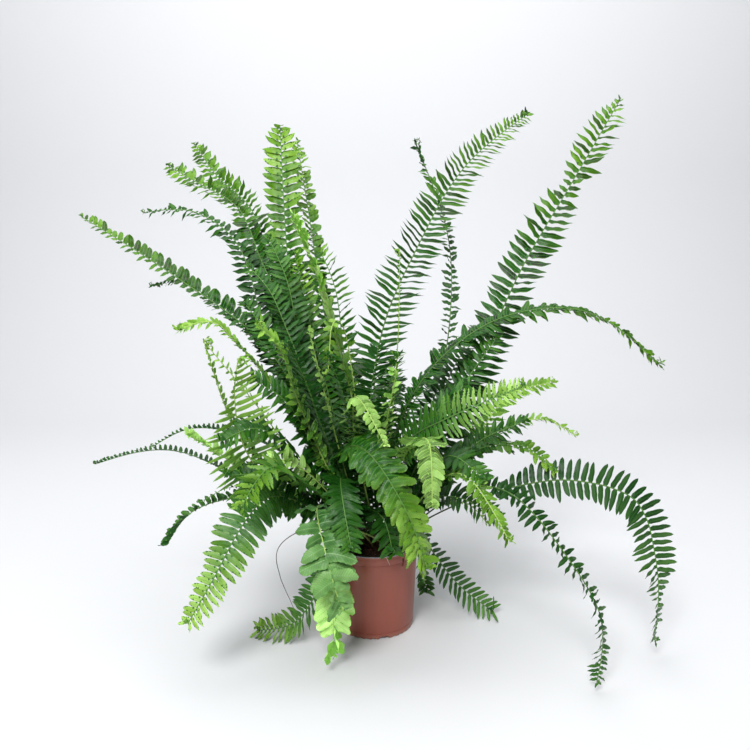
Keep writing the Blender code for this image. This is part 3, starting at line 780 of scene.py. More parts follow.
class FrondTree:
    """The Geometry Nodes tree that sets leaflets in two rows along a rachis."""

    INPUTS = (
        ("Rachis", "NodeSocketGeometry"),
        ("Leaflet Count", "NodeSocketInt"),
        ("Start", "NodeSocketFloat"),
        ("Leaflet Width", "NodeSocketFloat"),
        ("Sweep", "NodeSocketFloat"),
        ("Cup", "NodeSocketFloat"),
        ("Twist", "NodeSocketFloat"),
        ("Jitter", "NodeSocketFloat"),
        ("Balance", "NodeSocketFloat"),
        ("Light", "NodeSocketFloat"),
        ("Rachis Radius", "NodeSocketFloat"),
        ("Seed", "NodeSocketInt"),
        ("Leaflets", "NodeSocketCollection"),
        ("Variants", "NodeSocketInt"),
        ("Leaf Finish", "NodeSocketMaterial"),
        ("Stalk Finish", "NodeSocketMaterial"),
    )
    CROWDING = 0.09
    FLOOR = 0.3 * MM
    TIP_LEAN = 20.0
    UNEVEN = 0.08
    STOUTEST = 0.55
    # Each angle's chance turn for one leaflet and its slow turn for neighbours together, in degrees
    SWAYS = (("Sweep", 7.0, 10.0), ("Cup", 9.0, 34.0), ("Twist", 11.0, 40.0))
    # The ranges of a leaflet's own chances: sweep, cup, twist, length, tone and which shape
    CHANCES = ((-1.0, 1.0), (-1.0, 1.0), (-1.0, 1.0), (-1.0, 1.0), (0.0, 1.0), (0.0, 0.999))

    def __init__(self) -> None:
        """Build the tree once, for every frond to share."""
        self.tree, self.sockets = new_tree("leaflets along a rachis", self.INPUTS)
        given = add_node(self.tree, "NodeGroupInput").outputs
        leaves = self.leaf_rows(self.tree, given)
        stalk = self.stalk(self.tree, given)
        joined = add_node(self.tree, "GeometryNodeJoinGeometry")
        self.tree.links.new(leaves, joined.inputs[0])
        self.tree.links.new(stalk, joined.inputs[0])
        add_node(self.tree, "NodeGroupOutput", {}, {0: joined})

    def leaf_rows(self, tree: bpy.types.NodeTree,
                  given: bpy.types.bpy_prop_collection) -> bpy.types.NodeSocket:
        """Place one leaflet at each point, left and right in turn.

        Args:
            tree: The tree to add to.
            given: The tree's inputs.

        Returns:
            The socket with the realised leaflets.
        """
        curve = add_node(tree, "GeometryNodeMeshToCurve", {}, {0: given["Rachis"]})
        points = add_node(tree, "GeometryNodePoints", {}, {"Count": given["Leaflet Count"]})
        number = add_node(tree, "GeometryNodeInputIndex").outputs[0]

        # Leaflets crowd together only near the tip: t + k t (1 - t^5)
        step = add_node(tree, "ShaderNodeMath", "ADD", {0: number, 1: 0.5})
        t = add_node(tree, "ShaderNodeMath", "DIVIDE", {0: step, 1: given["Leaflet Count"]})
        fifth = add_node(tree, "ShaderNodeMath", "POWER", {0: t, 1: 5.0})
        left = add_node(tree, "ShaderNodeMath", "SUBTRACT", {0: 1.0, 1: fifth})
        product = add_node(tree, "ShaderNodeMath", "MULTIPLY", {0: t, 1: left})
        eased = add_node(tree, "ShaderNodeMath", "MULTIPLY_ADD", {0: product, 1: self.CROWDING, 2: t})
        factor = add_node(tree, "ShaderNodeMapRange", {}, {"Value": eased, "To Min": given["Start"]})
        density = add_node(tree, "ShaderNodeMath", "MULTIPLY_ADD",
                           {0: fifth, 1: -6.0 * self.CROWDING, 2: 1.0 + self.CROWDING})

        sampled = {}
        for name, kind in (("side", "FLOAT_VECTOR"), ("upper", "FLOAT_VECTOR"), ("half", "FLOAT")):
            attribute = add_node(tree, "GeometryNodeInputNamedAttribute", {"data_type": kind}, {"Name": name})
            value = live_output(attribute, "Attribute")
            settings = {"data_type": kind, "mode": "FACTOR", "use_all_curves": True}
            sampled[name] = add_node(tree, "GeometryNodeSampleCurve", settings,
                                     {"Curves": curve, "Value": value, "Factor": factor})
        side, upper, half = (live_output(sampled[name], "Value") for name in ("side", "upper", "half"))
        position = sampled["side"].outputs["Position"]
        tangent = sampled["side"].outputs["Tangent"]

        # Each leaflet has its own small differences
        chance = []
        for k, (low, high) in enumerate(self.CHANCES):
            seed = add_node(tree, "ShaderNodeMath", "MULTIPLY_ADD", {0: given["Seed"], 1: 7.0, 2: float(k)})
            value = add_node(tree, "FunctionNodeRandomValue", {"data_type": "FLOAT"},
                             {"Min": low, "Max": high, "ID": number, "Seed": seed})
            chance.append(live_output(value))
        odd = add_node(tree, "ShaderNodeMath", "MODULO", {0: number, 1: 2.0})
        sign = add_node(tree, "ShaderNodeMath", "MULTIPLY_ADD", {0: odd, 1: 2.0, 2: -1.0})

        # A slow wobble along the rachis turns neighbours together, as on a blade that has swayed
        far = add_node(tree, "ShaderNodeMath", "MULTIPLY_ADD", {0: given["Seed"], 1: 3.7, 2: odd})
        spot = add_node(tree, "ShaderNodeCombineXYZ", {}, {0: factor, 1: far})
        sway = add_node(tree, "ShaderNodeTexNoise", {}, {"Vector": spot, "Scale": 9.0, "Detail": 1.0})
        wobble = add_node(tree, "ShaderNodeMapRange", {"clamp": False}, {"Value": sway, "To Min": -1.0})
        angles = []
        for chosen, (name, spread, slow) in enumerate(self.SWAYS):
            amount = add_node(tree, "ShaderNodeMath", "MULTIPLY", {0: given["Jitter"], 1: spread})
            drift = add_node(tree, "ShaderNodeMath", "MULTIPLY", {0: given["Jitter"], 1: slow})
            base = add_node(tree, "ShaderNodeMath", "MULTIPLY_ADD", {0: wobble, 1: drift, 2: given[name]})
            angle = add_node(tree, "ShaderNodeMath", "MULTIPLY_ADD", {0: chance[chosen], 1: amount, 2: base})
            angles.append(angle)

        # Near the tip the leaflets lean further forward
        lean = add_node(tree, "ShaderNodeMath", "POWER", {0: factor, 1: 3.0})
        swept = add_node(tree, "ShaderNodeMath", "MULTIPLY_ADD", {0: lean, 1: self.TIP_LEAN, 2: angles[0]})
        turned = []
        for source in (swept, angles[1], angles[2]):
            radians = add_node(tree, "ShaderNodeMath", "RADIANS", {0: source})
            cosine = add_node(tree, "ShaderNodeMath", "COSINE", {0: radians})
            sine = add_node(tree, "ShaderNodeMath", "SINE", {0: radians})
            turned.append((cosine.outputs[0], sine.outputs[0]))
        outward = add_node(tree, "ShaderNodeVectorMath", "SCALE", {0: side, "Scale": sign})
        outward = add_node(tree, "ShaderNodeVectorMath", "SCALE", {0: outward, "Scale": turned[0][0]})
        forward = add_node(tree, "ShaderNodeVectorMath", "SCALE", {0: tangent, "Scale": turned[0][1]})
        flat = add_node(tree, "ShaderNodeVectorMath", "ADD", {0: outward, 1: forward})
        flat_part = add_node(tree, "ShaderNodeVectorMath", "SCALE", {0: flat, "Scale": turned[1][0]})
        raised = add_node(tree, "ShaderNodeVectorMath", "SCALE", {0: upper, "Scale": turned[1][1]})
        aim = add_node(tree, "ShaderNodeVectorMath", "ADD", {0: flat_part, 1: raised})
        face = add_node(tree, "ShaderNodeVectorMath", "SCALE", {0: upper, "Scale": turned[2][0]})
        tipped = add_node(tree, "ShaderNodeVectorMath", "SCALE", {0: tangent, "Scale": turned[2][1]})
        normal = add_node(tree, "ShaderNodeVectorMath", "ADD", {0: face, 1: tipped})
        rotation = add_node(tree, "FunctionNodeAxesToRotation", {"primary_axis": "X", "secondary_axis": "Z"},
                            {"Primary Axis": aim, "Secondary Axis": normal})

        # Length follows the blade's outline, width the room between neighbours
        weight = add_node(tree, "ShaderNodeMath", "MULTIPLY_ADD", {0: given["Balance"], 1: sign, 2: 1.0})
        uneven = add_node(tree, "ShaderNodeMath", "MULTIPLY", {0: chance[3], 1: given["Jitter"]})
        shrunk = add_node(tree, "ShaderNodeMath", "MULTIPLY_ADD", {0: uneven, 1: self.UNEVEN, 2: 1.0})
        length = add_node(tree, "ShaderNodeMath", "MULTIPLY", {0: half, 1: weight})
        long = add_node(tree, "ShaderNodeMath", "MULTIPLY", {0: length, 1: shrunk})
        room = add_node(tree, "ShaderNodeMath", "MULTIPLY", {0: given["Leaflet Width"], 1: density})
        stout = add_node(tree, "ShaderNodeMath", "MULTIPLY", {0: long, 1: self.STOUTEST})
        wide = add_node(tree, "ShaderNodeMath", "MINIMUM", {0: room, 1: stout})
        scale = add_node(tree, "ShaderNodeCombineXYZ", {}, {0: long, 1: wide, 2: wide})

        placed = add_node(tree, "GeometryNodeSetPosition", {}, {"Geometry": points, "Position": position})
        # Each leaflet's tone is its own chance lightness plus the frond's lightness, which is partly painted
        # light and shade
        tone = add_node(tree, "ShaderNodeMath", "ADD", {0: chance[4], 1: given["Light"]})
        toned = add_node(tree, "GeometryNodeStoreNamedAttribute", {"data_type": "FLOAT", "domain": "POINT"},
                         {"Geometry": placed, "Name": "tone", "Value": tone})
        shared = add_node(tree, "GeometryNodeStoreNamedAttribute", {"data_type": "FLOAT", "domain": "POINT"},
                          {"Geometry": toned, "Name": "share", "Value": factor})
        shapes = add_node(tree, "GeometryNodeCollectionInfo", {},
                          {"Collection": given["Leaflets"], "Separate Children": True,
                           "Reset Children": True})
        drawn = add_node(tree, "ShaderNodeMath", "MULTIPLY", {0: chance[5], 1: given["Variants"]})
        floored = add_node(tree, "ShaderNodeMath", "FLOOR", {0: drawn})
        pick = add_node(tree, "ShaderNodeMath", "MULTIPLY_ADD", {0: odd, 1: given["Variants"], 2: floored})
        copies = add_node(tree, "GeometryNodeInstanceOnPoints", {},
                          {"Points": shared, "Instance": shapes, "Pick Instance": True,
                           "Instance Index": pick, "Rotation": rotation, "Scale": scale})
        real = add_node(tree, "GeometryNodeRealizeInstances", {}, {0: copies})

        # A leaflet that would dip into the surface lies on it
        where = add_node(tree, "GeometryNodeInputPosition")
        parts = add_node(tree, "ShaderNodeSeparateXYZ", {}, {0: where})
        held = add_node(tree, "ShaderNodeMath", "MAXIMUM", {0: parts.outputs[2], 1: self.FLOOR})
        lying = add_node(tree, "ShaderNodeCombineXYZ", {},
                         {0: parts.outputs[0], 1: parts.outputs[1], 2: held})
        laid = add_node(tree, "GeometryNodeSetPosition", {}, {"Geometry": real, "Position": lying})
        dressed = add_node(tree, "GeometryNodeSetMaterial", {},
                           {"Geometry": laid, "Material": given["Leaf Finish"]})
        return dressed.outputs[0]

    def stalk(self, tree: bpy.types.NodeTree, given: bpy.types.bpy_prop_collection) -> bpy.types.NodeSocket:
        """Sweep the tapered rachis along the route.

        Args:
            tree: The tree to add to.
            given: The tree's inputs.

        Returns:
            The socket with the rachis.
        """
        curve = add_node(tree, "GeometryNodeMeshToCurve", {}, {0: given["Rachis"]})
        share = add_node(tree, "GeometryNodeInputNamedAttribute", {"data_type": "FLOAT"}, {"Name": "share"})
        value = live_output(share, "Attribute")
        taper = add_node(tree, "ShaderNodeMapRange", {}, {"Value": value, "To Min": 1.25, "To Max": 0.5})
        radius = add_node(tree, "ShaderNodeMath", "MULTIPLY", {0: taper, 1: given["Rachis Radius"]})
        ring = add_node(tree, "GeometryNodeCurvePrimitiveCircle", {}, {"Resolution": 7, "Radius": 1.0})
        solid = add_node(tree, "GeometryNodeCurveToMesh", {},
                         {"Curve": curve, "Profile Curve": ring, "Scale": radius, "Fill Caps": True})
        toned = add_node(tree, "GeometryNodeStoreNamedAttribute", {"data_type": "FLOAT", "domain": "POINT"},
                         {"Geometry": solid, "Name": "tone", "Value": 0.5})
        smooth = add_node(tree, "GeometryNodeSetShadeSmooth", {}, {0: toned})
        dressed = add_node(tree, "GeometryNodeSetMaterial", {},
                           {"Geometry": smooth, "Material": given["Stalk Finish"]})
        return dressed.outputs[0]


# Each frond's own habit. The fronds not named here, mostly at the back, share the dark one.
DARK = Habit(29, 7.8, 0.88, twist=28, jitter=1.2)
HABITS = {
    "frond_left_01": Habit(17, 10.5, 1.1, blunt=2.4, tip=0.5, balance=-0.25, cup=20, twist=10, sweep=10,
                           shape=Shape.TONGUE, light=-0.45),
    "frond_left_02": Habit(14, 6.5, 0.9, blunt=5, tip=0.7, sweep=35, cup=10, unrolled=0.02,
                           shape=Shape.TONGUE, light=0.3),
    "frond_left_03": Habit(15, 9.0, 0.8, blunt=3, tip=0.5, twist=55, sweep=20, light=-0.2),
    "frond_left_04": Habit(30, 9.5, 1.1, rise=0.25, blunt=1.1, tip=0.3, cup=8, twist=26, light=-0.3),
    "frond_left_05": Habit(27, 10.0, 1.15, blunt=2.4, tip=0.65, sweep=8, cup=14, twist=18, waist=(0.76, 0.4),
                           light=-0.45),
    "frond_left_06": Habit(29, 10.5, 1.1, blunt=3.2, tip=0.5, sweep=4, cup=14, twist=12, waist=(0.72, 0.4),
                           light=-0.45),
    "frond_left_07": Habit(36, 11.5, 1.1, blunt=3.6, tip=0.6, sweep=-2, cup=8, twist=20, jitter=0.6,
                           unrolled=0.06, waist=(0.76, 0.25), light=0.05),
    "frond_left_08": Habit(18, 9.5, 1.2, blunt=4.0, tip=0.75, jitter=1.7, twist=22, shape=Shape.TONGUE,
                           light=0.1),
    "frond_left_09": Habit(23, 8.5, 1.25, start=0.45, rise=0.2, blunt=4.5, tip=0.6, cup=20, twist=8, sweep=20,
                           shape=Shape.TONGUE, light=0.9),
    "frond_left_10": Habit(29, 10.0, 0.8, blunt=2.6, tip=0.3, twist=34, light=-0.3),
    "frond_left_11": Habit(11, 9.0, 0.9, start=0.3, blunt=3, tip=0.6, jitter=1.8, curl=5.0, rachis=1.15,
                           shape=Shape.ROUND),
    "frond_left_12": Habit(62, 8.6, 0.62, start=0.3, rise=0.22, blunt=1.8, tip=0.16, sweep=4, cup=26,
                           twist=12, curl=4.0, rachis=1.2, light=0.4, roll=-40, jitter=0.7),
    "frond_left_13": Habit(10, 7.0, 1.15, start=0.25, blunt=2.2, tip=0.6, cup=45, twist=16,
                           shape=Shape.ROUND),
    "frond_left_14": Habit(11, 7.5, 1.0, start=0.25, blunt=1.6, tip=0.35, cup=45, twist=16,
                           shape=Shape.ROUND),
    "frond_left_15": Habit(20, 9.0, 1.1, start=0.3, blunt=2.8, tip=0.55, jitter=1.8, cup=26,
                           shape=Shape.TONGUE),
    "frond_left_16": Habit(13, 7.5, 1.15, start=0.25, blunt=5, tip=0.9, cup=34, jitter=1.4, twist=14,
                           shape=Shape.ROUND, light=0.4),
    "frond_left_17": Habit(33, 8.4, 0.95, rise=0.35, blunt=3.0, tip=0.3, sweep=2, cup=4, twist=8, jitter=0.5,
                           unrolled=0.05, shape=Shape.TONGUE, light=0.9, roll=-35),
    "frond_left_18": Habit(27, 7.5, 0.95, start=0.2, blunt=4.0, tip=0.4, cup=20, twist=16, jitter=0.8,
                           shape=Shape.TONGUE, roll=-40, light=0.5),
    "frond_left_21": Habit(24, 9.0, 0.9, jitter=1.4, curl=4.0),
    "frond_front_01": Habit(38, 13.0, 1.4, start=0.3, rise=0.55, blunt=3, tip=0.3, sweep=10, cup=14, twist=4,
                            jitter=2.0, unrolled=0.08, shape=Shape.LOBED, light=0.1),
    "frond_front_02": Habit(32, 12.5, 1.4, start=0.5, rise=0.1, blunt=2.4, tip=0.7, sweep=26, cup=10, twist=2,
                            jitter=1.2, unrolled=0.08, shape=Shape.LOBED, light=1.1, curl=0.0, roll=-28),
    "frond_front_03": Habit(28, 7.5, 1.0, cup=10, twist=20, jitter=0.8),
    "frond_front_04": Habit(32, 9.8, 1.3, start=0.2, rise=0.3, blunt=9, tip=0.75, sweep=20, cup=8, twist=6,
                            jitter=1.0, unrolled=0.07, shape=Shape.LOBED, light=0.25, roll=18),
    "frond_front_05": Habit(32, 7.2, 1.2, start=0.45, rise=0.12, blunt=1.5, tip=0.22, sweep=16, cup=4,
                            twist=6, jitter=0.6, shape=Shape.TONGUE, light=-0.4),
    "frond_front_06": Habit(15, 8.0, 1.1, start=0.4, blunt=4, tip=0.6, jitter=1.7, curl=5.0,
                            shape=Shape.TONGUE),
    "frond_front_07": Habit(18, 7.5, 1.1, start=0.4, blunt=2.2, tip=0.3, jitter=1.4, cup=4,
                            shape=Shape.TONGUE),
    "frond_front_08": Habit(30, 7.0, 1.0, start=0.25, cup=4, twist=12, jitter=0.7, shape=Shape.TONGUE),
    "frond_right_01": Habit(40, 8.8, 0.92, rise=0.25, blunt=3.4, tip=0.18, sweep=16, cup=14, twist=36,
                            jitter=0.65, curl=4.0, unrolled=0.03, light=-0.45),
    "frond_right_02": Habit(14, 9.0, 1.2, blunt=5, tip=0.9, jitter=2.0, twist=30, cup=10, curl=4.5,
                            shape=Shape.TONGUE, light=0.8),
    "frond_right_03": Habit(36, 10.5, 0.95, rise=0.25, blunt=5.0, tip=0.4, sweep=10, cup=12, twist=32,
                            jitter=0.9, unrolled=0.07, waist=(0.79, 0.6), light=-0.45),
    "frond_right_04": Habit(22, 7.5, 1.35, start=0.15, blunt=3.0, tip=0.65, cup=14, twist=10, jitter=0.8,
                            unrolled=0.03, waist=(0.84, 0.5), light=-0.45),
    "frond_right_05": Habit(24, 8.5, 1.0, blunt=2.2, tip=0.35, twist=16),
    "frond_right_06": Habit(36, 7.0, 0.72, start=0.2, blunt=1.9, tip=0.24, sweep=6, cup=10, twist=8,
                            jitter=0.5, light=0.6, roll=25),
    "frond_right_07": Habit(20, 7.5, 0.8, blunt=2.6, tip=0.2, twist=22, balance=0.1, light=0.15),
    "frond_right_08": Habit(19, 7.5, 1.1, blunt=2.0, tip=0.4, twist=16, jitter=1.4, shape=Shape.TONGUE),
    "frond_right_09": Habit(30, 8.6, 0.84, start=0.3, rise=0.15, blunt=5, tip=0.4, sweep=2, cup=12, twist=14,
                            jitter=0.6, waist=(0.86, 0.65), light=0.1, shape=Shape.TONGUE, roll=20),
    "frond_right_10": Habit(19, 8.0, 0.8, start=0.3, rise=0.2, blunt=4, tip=0.5, sweep=6, cup=10, twist=24,
                            jitter=1.5, waist=(0.6, 0.4), light=-0.1),
    "frond_right_11": Habit(20, 7.0, 0.85, start=0.35, blunt=2.6, tip=0.4, sweep=18, cup=6, twist=8,
                            jitter=0.7, shape=Shape.TONGUE, light=-0.3),
    "frond_right_12": Habit(26, 8.2, 0.72, start=0.3, blunt=4.6, tip=0.6, sweep=18, cup=6, twist=10,
                            jitter=0.6, unrolled=0.03, shape=Shape.TONGUE, light=0.8, roll=20),
}

def filler(half: float, spacing: float = 7.7, jitter: float = 1.3) -> Habit:
    """The habit of a plain frond in the heart of the plant."""
    return Habit(half, spacing, 0.88, jitter=jitter)


# Fronds too fine or too hidden for a solid of their own: age, habit, turn in degrees, and then
# each place's bearing in degrees, reach in cm and height in cm
YOUNG = {
    "crozier_right": (Age.YOUNG, Habit(6, 7.0, 0.9, start=0.6, blunt=6, tip=0.8, curl=4.5, rachis=1.0,
                                       shape=Shape.ROUND),
                      20, (60, 1.5, 12.6), (20, 2.5, 28), (-20, 3.5, 42), (-30, 4.0, 54)),
    "crozier_left": (Age.YOUNG, Habit(16, 10.0, 0.3, start=0.5, blunt=2, tip=0.3, jitter=1.6, curl=3.5,
                                      rachis=0.9),
                     -50, (200, 2.0, 12.6), (205, 9.0, 22), (207, 17, 34), (209, 23.5, 42.5)),
    "sprig_left_low": (Age.OLD, Habit(5, 7.0, 0.6, start=0.5, blunt=2, tip=0.5, jitter=2.0, curl=2.5,
                                      rachis=0.6),
                       -20, (205, 2.2, 12.6), (208, 12, 20), (206, 20, 23.5), (205, 25, 22)),
    "frond_behind_pot": (Age.OLD, Habit(20, 7.5, 0.9, start=0.3, blunt=4, tip=0.5, twist=12,
                                        shape=Shape.TONGUE),
                         25, (50, 2.2, 12.6), (50, 7.2, 14.6), (47, 9.8, 9), (42, 10.4, 4), (36, 10.2, 1.6)),
    "sprig_right_low": (Age.YOUNG, Habit(8, 7.0, 1.0, start=0.35, blunt=4, tip=0.7, jitter=1.6,
                                         shape=Shape.ROUND),
                        30, (330, 2.2, 12.6), (330, 9.0, 19), (332, 14, 20.5), (334, 17, 18)),
    "sprig_centre_left": (Age.LIME, Habit(13, 9.0, 0.8, start=0.5, blunt=4, tip=0.5, jitter=1.6,
                                          shape=Shape.TONGUE),
                          -50, (215, 1.6, 12.6), (222, 6, 26), (224, 9.5, 37), (224, 11.5, 44)),
    "sprig_centre": (Age.YOUNG, Habit(13, 13.0, 0.9, start=0.5, blunt=4, tip=0.6, jitter=2.0,
                                      shape=Shape.ROUND),
                     10, (240, 1.0, 12.6), (235, 4, 32), (232, 6, 43), (234, 9, 45), (238, 11, 39)),
    "lime_sprig_low_left": (Age.LIME, Habit(20, 10.0, 0.8, start=0.5, blunt=3, tip=0.5, jitter=1.8),
                            -70, (222, 2.0, 12.6), (224, 8, 21), (222, 14, 27), (224, 18, 28)),
    "fill_left_a": (Age.OLD, filler(30), -60, (190, 1.6, 12.6), (186, 7, 28), (180, 13, 40), (178, 18, 47)),
    "fill_left_b": (Age.OLD, filler(30), -50, (205, 1.9, 12.6), (208, 8, 25), (210, 13, 34), (210, 18, 38)),
    "fill_left_c": (Age.MATURE, filler(28), -50, (170, 1.2, 12.6), (160, 6, 30), (155, 10, 43),
                    (153, 13, 54)),
    "fill_left_d": (Age.OLD, filler(28, jitter=1.5), -30, (215, 2.2, 12.6), (215, 9, 20), (214, 16, 25),
                    (212, 22, 26)),
    "fill_centre_a": (Age.OLD, filler(28), -20, (250, 0.8, 12.6), (245, 5, 27), (243, 9, 36), (242, 12, 41)),
    "fill_centre_b": (Age.MATURE, filler(26), 10, (290, 0.8, 12.6), (285, 4, 27), (285, 7, 36),
                      (288, 10, 41)),
    "fill_right_a": (Age.OLD, filler(28), 50, (340, 1.4, 12.6), (350, 7, 26), (355, 12, 35), (0, 17, 42)),
    "fill_right_b": (Age.OLD, filler(26), 40, (350, 2.0, 12.6), (352, 9, 22), (352, 15, 28), (352, 21, 31)),
    "fill_right_c": (Age.OLD, filler(26, 7.4), 30, (320, 2.1, 12.6), (318, 8, 20), (322, 14, 22),
                     (326, 19, 20)),
    "fill_front_a": (Age.OLD, filler(26, 7.4, 1.0), 0, (255, 1.9, 12.6), (252, 7, 20), (250, 11, 21),
                     (248, 14, 18)),
    "fill_front_b": (Age.OLD, filler(24, 7.4, 1.0), 0, (285, 1.9, 12.6), (286, 6, 19), (290, 9.5, 20),
                     (294, 12, 17.5)),
}


@dataclass
class FrondMaker:
    """Grows each frond on its route, from the shared tree, leaflets and finishes."""

    samples: int = 72
    tree: FrondTree = field(default_factory=FrondTree)
    shelf: LeafletShelf = field(default_factory=LeafletShelf)
    leaf_finishes: dict[Age, bpy.types.Material] = field(default_factory=dict)
    stalks: dict[Age, bpy.types.Material] = field(default_factory=dict)

    def __post_init__(self) -> None:
        """Make the finishes."""
        self.leaf_finishes = {age: finish.build() for age, finish in LEAF_FINISHES.items()}
        old, young = OLD_STALK.build(), YOUNG_STALK.build()
        self.stalks = {age: young if age in (Age.YOUNG, Age.LIME, Age.PALE) else old for age in Age}

    def route_object(self, name: str, blade: Blade, habit: Habit) -> bpy.types.Object:
        """Make the route a chain of edges that carries the blade's directions and outline.

        Args:
            name: The frond's name.
            blade: The frond's route.
            habit: How its leaflets stand.

        Returns:
            An object for the tree to work on.
        """
        table = blade.table(self.samples, habit.curl * MM)
        steps = np.linalg.norm(np.diff(table[:, :3], axis=0), axis=1)
        shares = np.concatenate([[0.0], np.cumsum(steps)]) / steps.sum()
        turn = math.radians(habit.roll)
        sides, uppers = table[:, 3:6], table[:, 6:9]
        sides, uppers = (math.cos(turn) * sides + math.sin(turn) * uppers,
                         math.cos(turn) * uppers - math.sin(turn) * sides)
        mesh = bpy.data.meshes.new(name + "_route")
        mesh.from_pydata(table[:, :3].tolist(), [(k, k + 1) for k in range(len(table) - 1)], [])
        for title, rows in (("side", sides), ("upper", uppers)):
            layer = mesh.attributes.new(title, "FLOAT_VECTOR", "POINT")
            layer.data.foreach_set("vector", rows.ravel())
        for title, values in (("share", shares), ("half", habit.outline(shares) * habit.half * MM)):
            layer = mesh.attributes.new(title, "FLOAT", "POINT")
            layer.data.foreach_set("value", values)
        route = new_object(name + "_route", mesh)
        route["length"] = float(steps.sum())
        return route

    def grow(self, name: str, blade: Blade, age: Age, habit: Habit, seed: int) -> bpy.types.Object:
        """Grow one frond and turn it into a plain mesh.

        Args:
            name: The finished piece's name.
            blade: Its route.
            age: Which finish it takes.
            habit: How its leaflets stand.
            seed: The seed of its small differences.

        Returns:
            The finished frond.
        """
        route = self.route_object(name, blade, habit)
        run = route["length"] * (1.0 - habit.start)
        values = {
            "Leaflet Count": 2 * max(5, round(run / (habit.spacing * MM))),
            "Start": habit.start,
            "Leaflet Width": habit.spacing * habit.slim * MM,
            "Sweep": float(habit.sweep),
            "Cup": float(habit.cup),
            "Twist": float(habit.twist),
            "Jitter": float(habit.jitter),
            "Balance": float(habit.balance),
            "Light": float(habit.light),
            "Rachis Radius": habit.rachis * MM,
            "Seed": seed,
            "Leaflets": self.shelf.collections[habit.shape],
            "Variants": len(LEAFLETS[habit.shape]),
            "Leaf Finish": self.leaf_finishes[age],
            "Stalk Finish": self.stalks[age],
        }
        return evaluate(route, name, self.tree.tree, self.tree.sockets, values)

    def build(self) -> None:
        """Grow every frond, on the frame's routes and then on the young fronds' own."""
        slots = {part["node"]: part["material_slot"] for part in frame["record"]["subparts"]}
        nodes = sorted(name for name in frame["nodes"] if name.startswith("frond_"))
        for seed, name in enumerate(nodes, 1):
            habit = HABITS.get(name, DARK)
            piece = self.grow(name + "_leaf", Blade.from_node(name), Age(slots[name]), habit, seed)
            settle(piece, slots[name], name)
        for seed, (name, (age, habit, turn, *places)) in enumerate(YOUNG.items(), 101):
            settle(self.grow(name, Blade.free(turn, *places), age, habit, seed), age.value)
        self.shelf.clear()


def evaluate(start: bpy.types.Object, name: str, tree: bpy.types.NodeTree, sockets: dict[str, str],
             values: dict[str, object]) -> bpy.types.Object:
    """Run a Geometry Nodes tree on an object and keep only the plain mesh it gives.

    Args:
        start: The object that the tree works on, removed afterwards.
        name: The finished piece's name.
        tree: The tree.
        sockets: Each input's identifier by its name.
        values: Each input's value by its name.

    Returns:
        The finished piece.
    """
    modifier = start.modifiers.new("grow", "NODES")
    modifier.node_group = tree
    for label, value in values.items():
        modifier[sockets[label]] = value
    graph = bpy.context.evaluated_depsgraph_get()
    mesh = bpy.data.meshes.new_from_object(start.evaluated_get(graph), depsgraph=graph)
    bpy.data.objects.remove(start, do_unlink=True)
    return new_object(name, mesh)


# ---------------------------------------------------------------------------------------------
# Pot
# ---------------------------------------------------------------------------------------------


